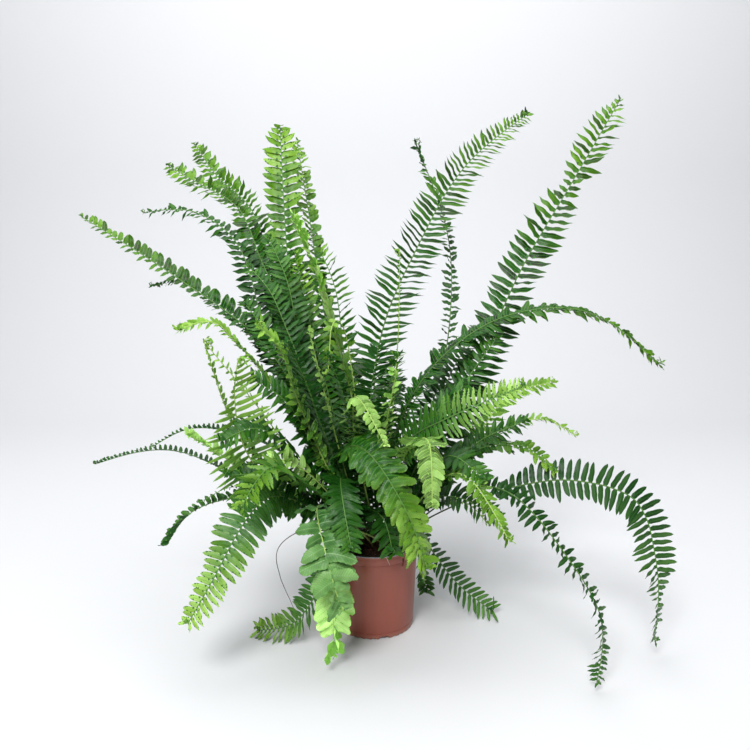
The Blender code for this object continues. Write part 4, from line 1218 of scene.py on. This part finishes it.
@dataclass(frozen=True)
class PotPlastic:
    """Injection-moulded polypropylene: satin terracotta with a painted grey highlight along its lip, and
    specks of soil.
    """

    name: str = "moulded terracotta polypropylene"
    body: str = "#9d5140"
    low: str = "#84483c"
    # The grey of the painted highlight along the lip
    lime: str = "#9a9ca2"
    speck: str = "#35251f"
    dust: str = "#a37a68"
    roughness: float = 0.31
    rim_height: float = 126 * MM
    speck_mm: float = 7.0
    flow_mm: float = 14.0

    def build(self) -> bpy.types.Material:
        """Make the material, with the painted lip highlight and the dirt placed by height on the pot.

        Returns:
            The material.
        """
        material, tree, shader = new_material(self.name)
        where = add_node(tree, "ShaderNodeTexCoord").outputs["Object"]
        height = add_node(tree, "ShaderNodeSeparateXYZ", {}, {0: where}).outputs[2]

        # Long soft streaks where the plastic flowed up the mould
        stretched = add_node(tree, "ShaderNodeMapping", {}, {"Vector": where, "Scale": (1.0, 1.0, 0.16)})
        flow = add_node(tree, "ShaderNodeTexNoise", {},
                        {"Vector": stretched, "Scale": 1000 / self.flow_mm, "Detail": 4.0})
        tint = add_node(tree, "ShaderNodeMix", {"data_type": "RGBA"},
                        {0: flow, 6: linear(self.low), 7: linear(self.body)})

        # Painted highlight: a grey-white band along the rounded lip where the rim catches the light, ragged
        # at its lower edge
        ragged = add_node(tree, "ShaderNodeTexNoise", {},
                          {"Vector": where, "Scale": 1000 / 3.0, "Detail": 5.0})
        edge = add_node(tree, "ShaderNodeMath", "MULTIPLY_ADD", {0: ragged, 1: 0.9 * MM, 2: height})
        painted_lip_highlight = add_node(tree, "ShaderNodeMapRange", {"interpolation_type": "SMOOTHSTEP"},
                         {"Value": edge, "From Min": self.rim_height - 0.75 * MM,
                          "From Max": self.rim_height - 0.1 * MM})
        with_lip_highlight = add_node(tree, "ShaderNodeMix", {"data_type": "RGBA"},
                         {0: painted_lip_highlight, 6: tint, 7: linear(self.lime)})

        # Dust at the foot, and a few crumbs stuck to the wall
        dust = add_node(tree, "ShaderNodeMapRange", {"interpolation_type": "SMOOTHSTEP"},
                        {"Value": edge, "From Min": 9 * MM, "From Max": 1 * MM, "To Max": 0.4})
        dusted = add_node(tree, "ShaderNodeMix", {"data_type": "RGBA"},
                          {0: dust, 6: with_lip_highlight, 7: linear(self.dust)})
        cells = add_node(tree, "ShaderNodeTexVoronoi", {}, {"Vector": where, "Scale": 1000 / self.speck_mm})
        rare = add_node(tree, "ShaderNodeSeparateColor", {}, {0: cells.outputs["Color"]})
        chosen = add_node(tree, "ShaderNodeMath", "LESS_THAN", {0: rare.outputs[0], 1: 0.07})
        size = add_node(tree, "ShaderNodeMapRange", {},
                        {"Value": rare.outputs[1], "To Min": 0.05, "To Max": 0.12})
        close = add_node(tree, "ShaderNodeMath", "LESS_THAN", {0: cells.outputs["Distance"], 1: size})
        spot = add_node(tree, "ShaderNodeMath", "MULTIPLY", {0: chosen, 1: close})
        colour = add_node(tree, "ShaderNodeMix", {"data_type": "RGBA"},
                          {0: spot, 6: dusted, 7: linear(self.speck)})
        scuffed = add_node(tree, "ShaderNodeMapRange", {},
                           {"Value": flow, "To Min": self.roughness - 0.05, "To Max": self.roughness + 0.13})
        # The lip band that carries the painted highlight is also made rougher
        rough = add_node(tree, "ShaderNodeMath", "MULTIPLY_ADD", {0: painted_lip_highlight, 1: 0.4, 2: scuffed})
        grain = add_node(tree, "ShaderNodeTexNoise", {},
                         {"Vector": where, "Scale": 1000 / 1.2, "Detail": 3.0})
        lumps = add_node(tree, "ShaderNodeMath", "MULTIPLY_ADD", {0: spot, 1: 4.0, 2: grain})
        bump = add_node(tree, "ShaderNodeBump", {},
                        {"Strength": 0.25, "Distance": 0.12 * MM, "Height": lumps})
        tree.links.new(colour.outputs[2], shader.inputs["Base Color"])
        tree.links.new(rough.outputs[0], shader.inputs["Roughness"])
        tree.links.new(bump.outputs[0], shader.inputs["Normal"])
        shader.inputs["IOR"].default_value = 1.49
        return material


def near(radius: float, height: float, *steps: tuple[float, float]) -> list[tuple[float, float]]:
    """Points of a section at steps in mm, outward and upward, from one place in metres."""
    return [(radius + out * MM, height + up * MM) for out, up in steps]


@dataclass
class Pot:
    """The nursery pot: a thin tapered wall, a stepped rim band with hanger slots, and a scalloped foot."""

    rim_radius: float = 65 * MM
    foot_radius: float = 57.5 * MM
    height: float = 126 * MM
    wall: float = 1.6 * MM
    band: float = 14 * MM
    step: float = 0.9 * MM
    line_height: float = 8 * MM
    inner_middle: float = 60 * MM
    teeth: int = 36
    tooth_segments: int = 6
    tooth_depth: float = 2.6 * MM
    notch_bearing: float = -76.0
    notch_reach: float = 6.5
    notch_depth: float = 4.2 * MM
    slot_bearings: tuple[float, ...] = (-50.0, 70.0, 190.0)
    slot_size: tuple[float, float, float] = (8 * MM, 3 * MM, 12 * MM)
    slot_top: float = 118 * MM
    pad_radius: float = 18 * MM
    drain_circle: float = 40 * MM
    drain_radius: float = 4 * MM
    drains: int = 8
    drain_sides: int = 24
    drain_depth: float = 6 * MM
    floor_middle: float = 3.8 * MM
    finish: PotPlastic = field(default_factory=PotPlastic)

    def wall_radius(self, height: float) -> float:
        """The outer radius of the tapered wall at a height."""
        return self.foot_radius + (self.rim_radius - 2 * self.step - self.foot_radius) * height / self.height

    def profile(self) -> list[tuple[float, float]]:
        """The wall's section from the pad under the floor, up outside and down inside.

        Returns:
            Radius and height of each point.
        """
        wall, line, band, top = self.wall_radius, self.line_height, self.height - self.band, self.height
        inside = -self.wall

        # The pad, the foot ring and the pressed line above it
        points = near(self.pad_radius, 0.0, (-0.5, 0.0), (0.0, 0.3), (1.0, 3.0))
        points += near(self.foot_radius, 0.0, (-3.2, 3.0), (-2.2, 0.4), (-1.8, 0.0), (-0.4, 0.0), (0.0, 0.4))
        points += [(wall(h), h) for h in (2 * MM, 4 * MM, line - 0.5 * MM, line)]
        points += near(wall(line), line, (-0.45, 0.3), (-0.45, 0.9), (0.0, 1.2))

        # The tapered wall, the step out to the rim band, and the rounded lip
        points += [(wall(h), h) for h in np.linspace(line + 1.8 * MM, band - 1.2 * MM, 9)]
        points += near(wall(band), band, (-0.35, -0.5), (-0.2, 0.0))
        points += near(wall(band) + self.step, band, (0.0, 0.35), (0.1, 1.0))
        points += near(self.rim_radius, top, (-1.0, -4.6), (-1.2, -4.2), (-1.2, -3.8), (-0.2, -3.3),
                       (0.0, -2.6), (0.0, -0.8), (-0.25, -0.2), (-0.8, 0.0))

        # Down the inside to the floor
        points += near(self.rim_radius + inside, top, (-0.3, 0.0), (-0.9, -0.4), (-1.1, -1.4))
        points += near(wall(band) + inside, band, (0.2, 2.0), (0.0, 0.0))
        points += [(wall(self.inner_middle) + inside, self.inner_middle)]
        points += near(wall(0.0) + inside, 0.0, (0.0, 6.4), (-1.6, 4.6))
        return points

    def foot_cut(self, bearing: float) -> float:
        """How far the scalloped foot is cut away at a bearing in radians."""
        phase = bearing * self.teeth / math.tau
        number = math.floor(phase + 0.5)
        depth = self.tooth_depth * (0.75 + 0.25 * math.sin(number * 2.4) * math.cos(number * 0.7))
        cut = depth * (0.5 + 0.5 * math.cos(math.tau * phase)) ** 0.7
        away = abs((math.degrees(bearing) - self.notch_bearing + 180) % 360 - 180)
        return max(cut, self.notch_depth if away < self.notch_reach else 0.0)

    def shell(self) -> bpy.types.Object:
        """Turn the profile into the pot, then cut its slots and drain holes.

        Returns:
            The pot's object.
        """
        segments = self.teeth * self.tooth_segments
        points = self.profile()
        rows = []
        for radius, height in points:
            for k in range(segments):
                bearing = math.tau * k / segments
                lift = height
                if height < 3 * MM and radius > self.foot_radius - 3 * MM:
                    lift = max(height, self.foot_cut(bearing))
                rows.append((radius * math.cos(bearing), radius * math.sin(bearing), lift))
        faces = capped_rings(len(points), segments)
        pot = new_object("pot_shell", mesh_from("pot_shell", np.array(rows), faces))
        cutters = [self.cutter(bearing, self.rim_radius, self.slot_top - self.slot_size[2] / 2,
                               self.slot_size, 4)
                   for bearing in self.slot_bearings]
        hole = (2 * self.drain_radius, 2 * self.drain_radius, self.drain_depth)
        cutters += [self.cutter(360 * k / self.drains, self.drain_circle, self.floor_middle, hole,
                                self.drain_sides)
                    for k in range(self.drains)]
        for cutter in cutters:
            modifier = pot.modifiers.new("cut", "BOOLEAN")
            modifier.object = cutter
            modifier.operation = "DIFFERENCE"
        graph = bpy.context.evaluated_depsgraph_get()
        mesh = bpy.data.meshes.new_from_object(pot.evaluated_get(graph), depsgraph=graph)
        pot.modifiers.clear()
        pot.data = mesh
        for cutter in cutters:
            bpy.data.objects.remove(cutter, do_unlink=True)
        mesh.shade_smooth()
        mesh.set_sharp_from_angle(angle=math.radians(35))
        return pot

    def cutter(self, bearing: float, radius: float, height: float, size: tuple[float, float, float],
               sides: int) -> bpy.types.Object:
        """Make a box or round bar that cuts the pot.

        Args:
            bearing: Its bearing in degrees.
            radius: Its distance from the pot's middle.
            height: Its height.
            size: Its size outward, sideways and upward.
            sides: 4 for a box, more for a round bar.

        Returns:
            The cutter's object.
        """
        work = bmesh.new()
        if sides == 4:
            bmesh.ops.create_cube(work, size=1.0)
        else:
            bmesh.ops.create_cone(work, cap_ends=True, segments=sides, radius1=0.5, radius2=0.5, depth=1.0)
        bmesh.ops.scale(work, vec=size, verts=work.verts)
        bmesh.ops.translate(work, vec=(radius, 0.0, height), verts=work.verts)
        turn = Matrix.Rotation(math.radians(bearing), 3, "Z")
        bmesh.ops.rotate(work, cent=(0, 0, 0), matrix=turn, verts=work.verts)
        mesh = bpy.data.meshes.new("cutter")
        work.to_mesh(mesh)
        work.free()
        return new_object("cutter", mesh)

    def build(self) -> None:
        """Build and dress the pot."""
        pot = self.shell()
        pot.data.materials.clear()
        pot.data.materials.append(self.finish.build())
        settle(pot, "pot_plastic", "pot")


# ---------------------------------------------------------------------------------------------
# Compost, crown, runner and roots
# ---------------------------------------------------------------------------------------------


@dataclass(frozen=True)
class EarthFinish:
    """Loose organic matter: matt, dark and broken up, in two or three close browns."""

    name: str
    dark: str
    light: str
    grain_mm: float
    roughness: float = 0.92
    relief_mm: float = 0.5
    along: float = 1.0

    def build(self) -> bpy.types.Material:
        """Make the material from noise at the size of its grains.

        Returns:
            The material.
        """
        material, tree, shader = new_material(self.name)
        where = add_node(tree, "ShaderNodeTexCoord").outputs["Object"]
        stretched = add_node(tree, "ShaderNodeMapping", {},
                             {"Vector": where, "Scale": (1.0, 1.0, self.along)})
        grains = add_node(tree, "ShaderNodeTexNoise", {},
                          {"Vector": stretched, "Scale": 1000 / self.grain_mm, "Detail": 6.0,
                           "Roughness": 0.65})
        # One noise gives both the colour and the bump, so each surface is darker in its hollows and lighter
        # on its rises
        spread = add_node(tree, "ShaderNodeMapRange", {"interpolation_type": "SMOOTHSTEP"},
                          {"Value": grains, "From Min": 0.32, "From Max": 0.7})
        colour = add_node(tree, "ShaderNodeMix", {"data_type": "RGBA"},
                          {0: spread, 6: linear(self.dark), 7: linear(self.light)})
        bump = add_node(tree, "ShaderNodeBump", {},
                        {"Strength": 0.8, "Distance": self.relief_mm * MM, "Height": grains})
        tree.links.new(colour.outputs[2], shader.inputs["Base Color"])
        tree.links.new(bump.outputs[0], shader.inputs["Normal"])
        shader.inputs["Roughness"].default_value = self.roughness
        return material


# Damp peat is near black; its colour follows its bump, darker in the hollows and browner on the rises. Crumbs
# dry to a lighter brown, and coir fibres to straw
PEAT = EarthFinish("damp peat compost", "#060504", "#2a1d14", 3.0)
CRUMB = EarthFinish("peat crumb", "#0b0806", "#46301f", 1.6)
FIBRE = EarthFinish("dry coir fibre", "#3a2213", "#9a7048", 2.0, roughness=0.8, relief_mm=0.1)
# The crown's papery scales catch a dull rusty light; runner and roots are smoother, with a faint shine
RHIZOME = EarthFinish("scaly fern crown", "#1c100a", "#5b3820", 2.4, roughness=0.85, relief_mm=0.8,
                      along=0.35)
RUNNER_SKIN = EarthFinish("wiry brown runner", "#2e2621", "#6b5a4b", 6.0, roughness=0.6, relief_mm=0.1)
ROOT_SKIN = EarthFinish("pale fern root", "#a98e78", "#d9c4ae", 3.0, roughness=0.75, relief_mm=0.1)


class ScatterTree:
    """The Geometry Nodes tree that strews small shapes over the upper faces of a surface."""

    INPUTS = (
        ("Ground", "NodeSocketGeometry"),
        ("Density", "NodeSocketFloat"),
        ("Smallest", "NodeSocketFloat"),
        ("Largest", "NodeSocketFloat"),
        ("Lean", "NodeSocketFloat"),
        ("Seed", "NodeSocketInt"),
        ("Shapes", "NodeSocketCollection"),
        ("Finish", "NodeSocketMaterial"),
    )

    def __init__(self) -> None:
        """Build the tree once."""
        tree, self.sockets = new_tree("strewn over a surface", self.INPUTS)
        self.tree = tree
        given = add_node(tree, "NodeGroupInput").outputs
        spots = add_node(tree, "GeometryNodeDistributePointsOnFaces", {},
                         {"Mesh": given["Ground"], "Density": given["Density"], "Seed": given["Seed"]})
        around = add_node(tree, "FunctionNodeRandomValue", {"data_type": "FLOAT_VECTOR"},
                          {0: (-1.0, -1.0, -math.pi), 1: (1.0, 1.0, math.pi), "Seed": given["Seed"]})
        lean = add_node(tree, "ShaderNodeCombineXYZ", {}, {0: given["Lean"], 1: given["Lean"], 2: 1.0})
        turned = add_node(tree, "ShaderNodeVectorMath", "MULTIPLY", {0: around, 1: lean})
        local = add_node(tree, "FunctionNodeEulerToRotation", {}, {0: turned})
        rotation = add_node(tree, "FunctionNodeRotateRotation", {"rotation_space": "LOCAL"},
                            {0: spots.outputs["Rotation"], 1: local})
        other = add_node(tree, "ShaderNodeMath", "ADD", {0: given["Seed"], 1: 5.0})
        size = add_node(tree, "FunctionNodeRandomValue", {"data_type": "FLOAT"},
                        {"Min": given["Smallest"], "Max": given["Largest"], "Seed": other})
        shapes = add_node(tree, "GeometryNodeCollectionInfo", {},
                          {"Collection": given["Shapes"], "Separate Children": True, "Reset Children": True})
        copies = add_node(tree, "GeometryNodeInstanceOnPoints", {},
                          {"Points": spots.outputs["Points"], "Instance": shapes, "Pick Instance": True,
                           "Rotation": rotation, "Scale": live_output(size)})
        real = add_node(tree, "GeometryNodeRealizeInstances", {}, {0: copies})
        dressed = add_node(tree, "GeometryNodeSetMaterial", {},
                           {"Geometry": real, "Material": given["Finish"]})
        add_node(tree, "NodeGroupOutput", {}, {0: dressed})


FIBRE_BOWS = (0.12, 0.22, 0.3)
FIBRE_THICKNESS = 0.014


def crumb_shape(number: int) -> bpy.types.Mesh:
    """A lumpy crumb of unit size."""
    work = bmesh.new()
    bmesh.ops.create_icosphere(work, subdivisions=1, radius=0.5)
    for vertex in work.verts:
        vertex.co *= 1.0 + 0.45 * noise.noise(vertex.co * 2.3 + Vector((number * 7.1, 0, 0)))
    mesh = bpy.data.meshes.new(f"crumb_{number}")
    work.to_mesh(mesh)
    work.free()
    mesh.shade_smooth()
    return mesh


def fibre_shape(number: int) -> bpy.types.Mesh:
    """A curled fibre of unit length."""
    bow = FIBRE_BOWS[number]
    t = np.linspace(0.0, 1.0, 8)
    points = np.stack([t - 0.5, bow * np.sin(3.0 * t + number),
                       bow * 0.7 * np.sin(2.2 * t * math.pi + number)], axis=1)
    radii = FIBRE_THICKNESS * np.interp(t, [0, 0.5, 1], [0.6, 1.0, 0.3])
    vertices, faces = tube(points, radii, 4)
    return mesh_from(f"fibre_{number}", vertices, faces, 80.0)


def scale_shape(number: int) -> bpy.types.Mesh:
    """A thin papery scale of unit length that stands off the crown."""
    points = np.array([(0.0, 0.0, 0.0), (0.1, 0.0, 0.35), (0.25 + 0.05 * number, 0.0, 0.7), (0.45, 0.0, 1.0)])
    vertices, faces = tube(points, np.array([0.07, 0.09, 0.06, 0.012]), 4)
    vertices[:, 1] *= 2.2
    return mesh_from(f"scale_{number}", vertices, faces, 60.0)


@dataclass(frozen=True)
class Litter:
    """Small loose shapes that lie on a surface: how many to a square metre, and their sizes."""

    name: str
    slot: str
    shape: Callable[[int], bpy.types.Mesh]
    finish: EarthFinish
    density: float
    smallest: float
    largest: float
    lean: float
    seed: int
    shapes: int = 3

    def strew(self, ground: bpy.types.Object, scatter: ScatterTree) -> None:
        """Strew the shapes over a copy of a surface's mesh.

        Args:
            ground: The object whose faces they lie on.
            scatter: The tree that strews them.
        """
        collection = bpy.data.collections.new(self.name + "_shapes")
        for number in range(self.shapes):
            collection.objects.link(bpy.data.objects.new(f"{self.name}_{number}", self.shape(number)))
        start = new_object(self.name + "_ground", ground.data.copy())
        values = {"Density": self.density, "Smallest": self.smallest, "Largest": self.largest,
                  "Lean": self.lean, "Seed": self.seed, "Shapes": collection, "Finish": self.finish.build()}
        piece = evaluate(start, self.name, scatter.tree, scatter.sockets, values)
        for item in list(collection.objects):
            bpy.data.objects.remove(item)
        bpy.data.collections.remove(collection)
        settle(piece, self.slot)


CRUMBS = Litter("crumbs", "compost", crumb_shape, CRUMB, 150000.0, 0.9 * MM, 3.0 * MM, lean=3.0, seed=3)
FIBRES = Litter("fibres", "compost", fibre_shape, FIBRE, 44000.0, 8 * MM, 19 * MM, lean=0.45, seed=8)
SCALES = Litter("crown_scales", "crown_wood", scale_shape, RHIZOME, 260000.0, 3 * MM, 6 * MM, lean=0.7,
                seed=12)


@dataclass
class Bed:
    """The compost and the crown in it, each with what lies loose on it."""

    pot: Pot
    edge_height: float = 113 * MM
    rise: float = 3 * MM
    crown_radius: float = 29 * MM
    crown_top: float = 127 * MM
    crown_depth: float = 5 * MM
    crown_rings: int = 22
    crown_segments: int = 72
    segments: int = 120
    gap: float = 0.35 * MM
    scatter: ScatterTree = field(default_factory=ScatterTree)

    def mound(self, x: float, y: float) -> float:
        """The compost's height at a place: a low mound, lumpy at two sizes."""
        share = math.hypot(x, y) / self.pot.rim_radius
        lumps = noise.noise(Vector((x, y, 0.0)) * 90) * 1.6 + noise.noise(Vector((x, y, 0.3)) * 260) * 1.1
        return self.edge_height + self.rise * (1.0 - share * share) + lumps * MM

    def compost(self) -> bpy.types.Object:
        """Build the block of compost.

        Returns:
            Its object.
        """
        top = self.pot.wall_radius(self.pot.height - self.pot.band) - self.pot.wall - self.gap
        bottom = self.pot.wall_radius(0.0) - self.pot.wall - 1.6 * MM - self.gap
        profile = [(bottom, 5.0 * MM), (bottom + 1.2 * MM, 7.0 * MM)]
        profile += [(top, None)] + [(top - (top - 4 * MM) * k / 26, None) for k in range(1, 27)]
        rows = []
        for radius, height in profile:
            for k in range(self.segments):
                bearing = math.tau * k / self.segments
                x, y = radius * math.cos(bearing), radius * math.sin(bearing)
                rows.append((x, y, self.mound(x, y) if height is None else height))
        faces = capped_rings(len(profile), self.segments)
        block = new_object("compost", mesh_from("compost", np.array(rows), faces, 80.0))
        block.data.materials.append(PEAT.build())
        return block

    def crown(self) -> bpy.types.Object:
        """Build the knobbly woody crown.

        Returns:
            Its object.
        """
        foot = self.edge_height - self.crown_depth
        rows = []
        for ring in range(self.crown_rings):
            share = ring / (self.crown_rings - 1)
            inward, upward = math.cos(0.5 * math.pi * share), math.sin(0.5 * math.pi * share)
            radius = self.crown_radius * inward ** 0.7 + 0.5 * MM
            height = foot + (self.crown_top - foot) * upward
            for k in range(self.crown_segments):
                bearing = math.tau * k / self.crown_segments
                x, y = math.cos(bearing), math.sin(bearing)
                knob = noise.noise(Vector((x * 3.5, y * 3.5, share * 5))) * 2.2
                knob += noise.noise(Vector((x * 9, y * 9, share * 13)))
                swell = min(radius + knob * MM * inward, self.crown_radius)
                rows.append((x * swell, y * swell, height - abs(knob) * 0.5 * MM))
        faces = capped_rings(self.crown_rings, self.crown_segments)
        crown = new_object("crown_wood", mesh_from("crown_wood", np.array(rows), faces, 80.0))
        crown.data.materials.append(RHIZOME.build())
        return crown

    def upper_faces(self, source: bpy.types.Object, lowest: float) -> bpy.types.Object:
        """Copy the faces of a piece that look up and lie above a height.

        Args:
            source: The piece.
            lowest: The height in metres.

        Returns:
            An open patch to strew things on.
        """
        work = bmesh.new()
        work.from_mesh(source.data)
        hidden = [f for f in work.faces
                  if f.normal.z < 0.2 or f.calc_center_median().z < lowest or len(f.verts) > 4]
        bmesh.ops.delete(work, geom=hidden, context="FACES")
        mesh = bpy.data.meshes.new("patch")
        work.to_mesh(mesh)
        work.free()
        return new_object("patch", mesh)

    def build(self) -> None:
        """Build the compost and crown, and strew their crumbs, fibres and scales."""
        block = self.compost()
        settle(block, "compost", "soil")
        crown = self.crown()
        settle(crown, "crown_wood", "crown")
        ground = self.upper_faces(block, self.edge_height - 4 * MM)
        for litter in (CRUMBS, FIBRES):
            litter.strew(ground, self.scatter)
        top = self.upper_faces(crown, self.edge_height)
        SCALES.strew(top, self.scatter)
        for patch in (ground, top):
            bpy.data.objects.remove(patch, do_unlink=True)


@dataclass
class Strand:
    """A runner or root: one thin strand that tapers and wavers along its route."""

    name: str
    node: str
    finish: EarthFinish
    radius: float
    places: tuple[tuple[float, float, float], ...]
    sides: int = 8

    def build(self) -> None:
        """Build and dress the strand."""
        points = spline(np.array(self.places) * CM, 20 * len(self.places))
        for k, point in enumerate(points):
            fade = math.sin(math.pi * k / (len(points) - 1))
            waver = noise.noise_vector(Vector(point) * 60)
            points[k] = point + np.array(waver[:]) * fade * 0.6 * MM
        radii = self.radius * np.interp(np.linspace(0, 1, len(points)), [0, 0.7, 1], [1.15, 0.85, 0.35])
        vertices, faces = tube(points, radii, self.sides)
        piece = new_object(self.name, mesh_from(self.name, vertices, faces, 60.0))
        piece.data.materials.append(self.finish.build())
        settle(piece, "root_fibre", self.node)


STRANDS = (
    Strand("wire_runner", "runner", RUNNER_SKIN, 0.62 * MM,
           ((-2.9, -0.9, 12.9), (-6.5, -3.0, 15.0), (-10.5, -3.5, 15.2), (-13.6, -3.8, 12.6),
            (-13.4, -3.5, 8.6), (-12.0, -3.0, 4.4), (-10.9, -2.6, 1.2))),
    Strand("front_root", "root_front", ROOT_SKIN, 0.5 * MM,
           ((1.0, -4.6, 12.2), (1.3, -5.9, 12.9), (1.7, -6.75, 12.75), (2.2, -6.8, 11.6))),
    Strand("side_root", "root_side", ROOT_SKIN, 0.5 * MM,
           ((3.0, -3.9, 12.2), (4.0, -4.7, 12.9), (4.75, -5.3, 12.75), (4.5, -5.4, 11.2))),
)


# ---------------------------------------------------------------------------------------------
# Studio
# ---------------------------------------------------------------------------------------------


@dataclass(frozen=True)
class Softbox:
    """One square soft light."""

    name: str
    place: tuple[float, float, float]
    aim: tuple[float, float, float]
    size: float
    watts: float

    def build(self) -> None:
        """Hang the light and point it at its aim."""
        light = bpy.data.lights.new(self.name, "AREA")
        light.energy = self.watts
        light.size = self.size
        lamp = bpy.data.objects.new(self.name, light)
        bpy.context.scene.collection.objects.link(lamp)
        lamp.location = self.place
        lamp.rotation_euler = (Vector(self.aim) - Vector(self.place)).to_track_quat("-Z", "Y").to_euler()


@dataclass
class Studio:
    """A pale paper cove, soft lights and the camera."""

    cove_half_width: float = 4.0
    cove_front: float = -3.5
    bend_start: float = 1.2
    bend_radius: float = 0.9
    bend_steps: int = 16
    cove_height: float = 4.0
    paper: str = "#dadbdd"
    wall: str = "#f4f8ff"
    sky: float = 0.17
    wall_seen: float = 0.82
    lens: float = 34.13
    camera_place: tuple[float, float, float] = (0.0014, -0.987, 0.534)
    camera_tilt: float = 9.45
    lights: tuple[Softbox, ...] = (
        Softbox("key", (-0.6, -2.2, 2.35), (0.0, 0.0, 0.4), 1.1, 96.0),
        Softbox("fill", (1.6, -1.9, 1.2), (0.0, 0.0, 0.3), 1.6, 7.0),
        Softbox("wall", (0.0, 0.4, 2.9), (0.0, 2.1, 0.6), 2.5, 62.0),
    )

    def cove(self) -> None:
        """Build the floor that curves up into the wall."""
        section = [(self.cove_front, 0.0), (self.bend_start, 0.0)]
        for k in range(1, self.bend_steps + 1):
            angle = 0.5 * math.pi * k / self.bend_steps
            section.append((self.bend_start + self.bend_radius * math.sin(angle),
                            self.bend_radius * (1.0 - math.cos(angle))))
        section.append((self.bend_start + self.bend_radius, self.cove_height))
        count = len(section)
        rows = [(x, y, z) for x in (-self.cove_half_width, self.cove_half_width) for y, z in section]
        faces = [(k, count + k, count + k + 1, k + 1) for k in range(count - 1)]
        mesh = bpy.data.meshes.new("paper_cove")
        mesh.from_pydata(rows, [], faces)
        mesh.shade_smooth()
        # Uncoated paper: matt, so the floor shows soft shadows and no reflections
        paper, _tree, shader = new_material("matt white background paper")
        shader.inputs["Base Color"].default_value = linear(self.paper)
        shader.inputs["Roughness"].default_value = 0.9
        mesh.materials.append(paper)
        new_object("paper_cove", mesh)

    def surround(self) -> None:
        """Light the studio dimly from all round, and show its walls as pale as the paper."""
        world = bpy.data.worlds.new("soft studio walls")
        bpy.context.scene.world = world
        world.use_nodes = True
        tree = world.node_tree
        tree.nodes.clear()
        colour = linear(self.wall)
        lit = add_node(tree, "ShaderNodeBackground", {}, {"Color": colour, "Strength": self.sky})
        seen = add_node(tree, "ShaderNodeBackground", {}, {"Color": colour, "Strength": self.wall_seen})
        path = add_node(tree, "ShaderNodeLightPath")
        both = add_node(tree, "ShaderNodeMixShader", {}, {0: path.outputs["Is Camera Ray"], 1: lit, 2: seen})
        add_node(tree, "ShaderNodeOutputWorld", {}, {"Surface": both})

    def build(self) -> None:
        """Set up the cove, the lights, the walls and the camera."""
        self.cove()
        for light in self.lights:
            light.build()
        self.surround()
        camera = bpy.data.cameras.new("camera")
        camera.lens = self.lens
        item = bpy.data.objects.new("camera", camera)
        bpy.context.scene.collection.objects.link(item)
        item.location = self.camera_place
        item.rotation_euler = (math.radians(90.0 - self.camera_tilt), 0.0, 0.0)
        bpy.context.scene.camera = item
        bpy.context.scene.view_settings.view_transform = "Standard"


def main() -> None:
    """Build the fern from its pot upwards, then its studio, and note its size."""
    logging.basicConfig(level=logging.INFO, format="%(message)s")
    pot = Pot()
    pot.build()
    Bed(pot).build()
    for strand in STRANDS:
        strand.build()
    FrondMaker().build()
    Studio().build()


if __name__ == "__main__":
    main()
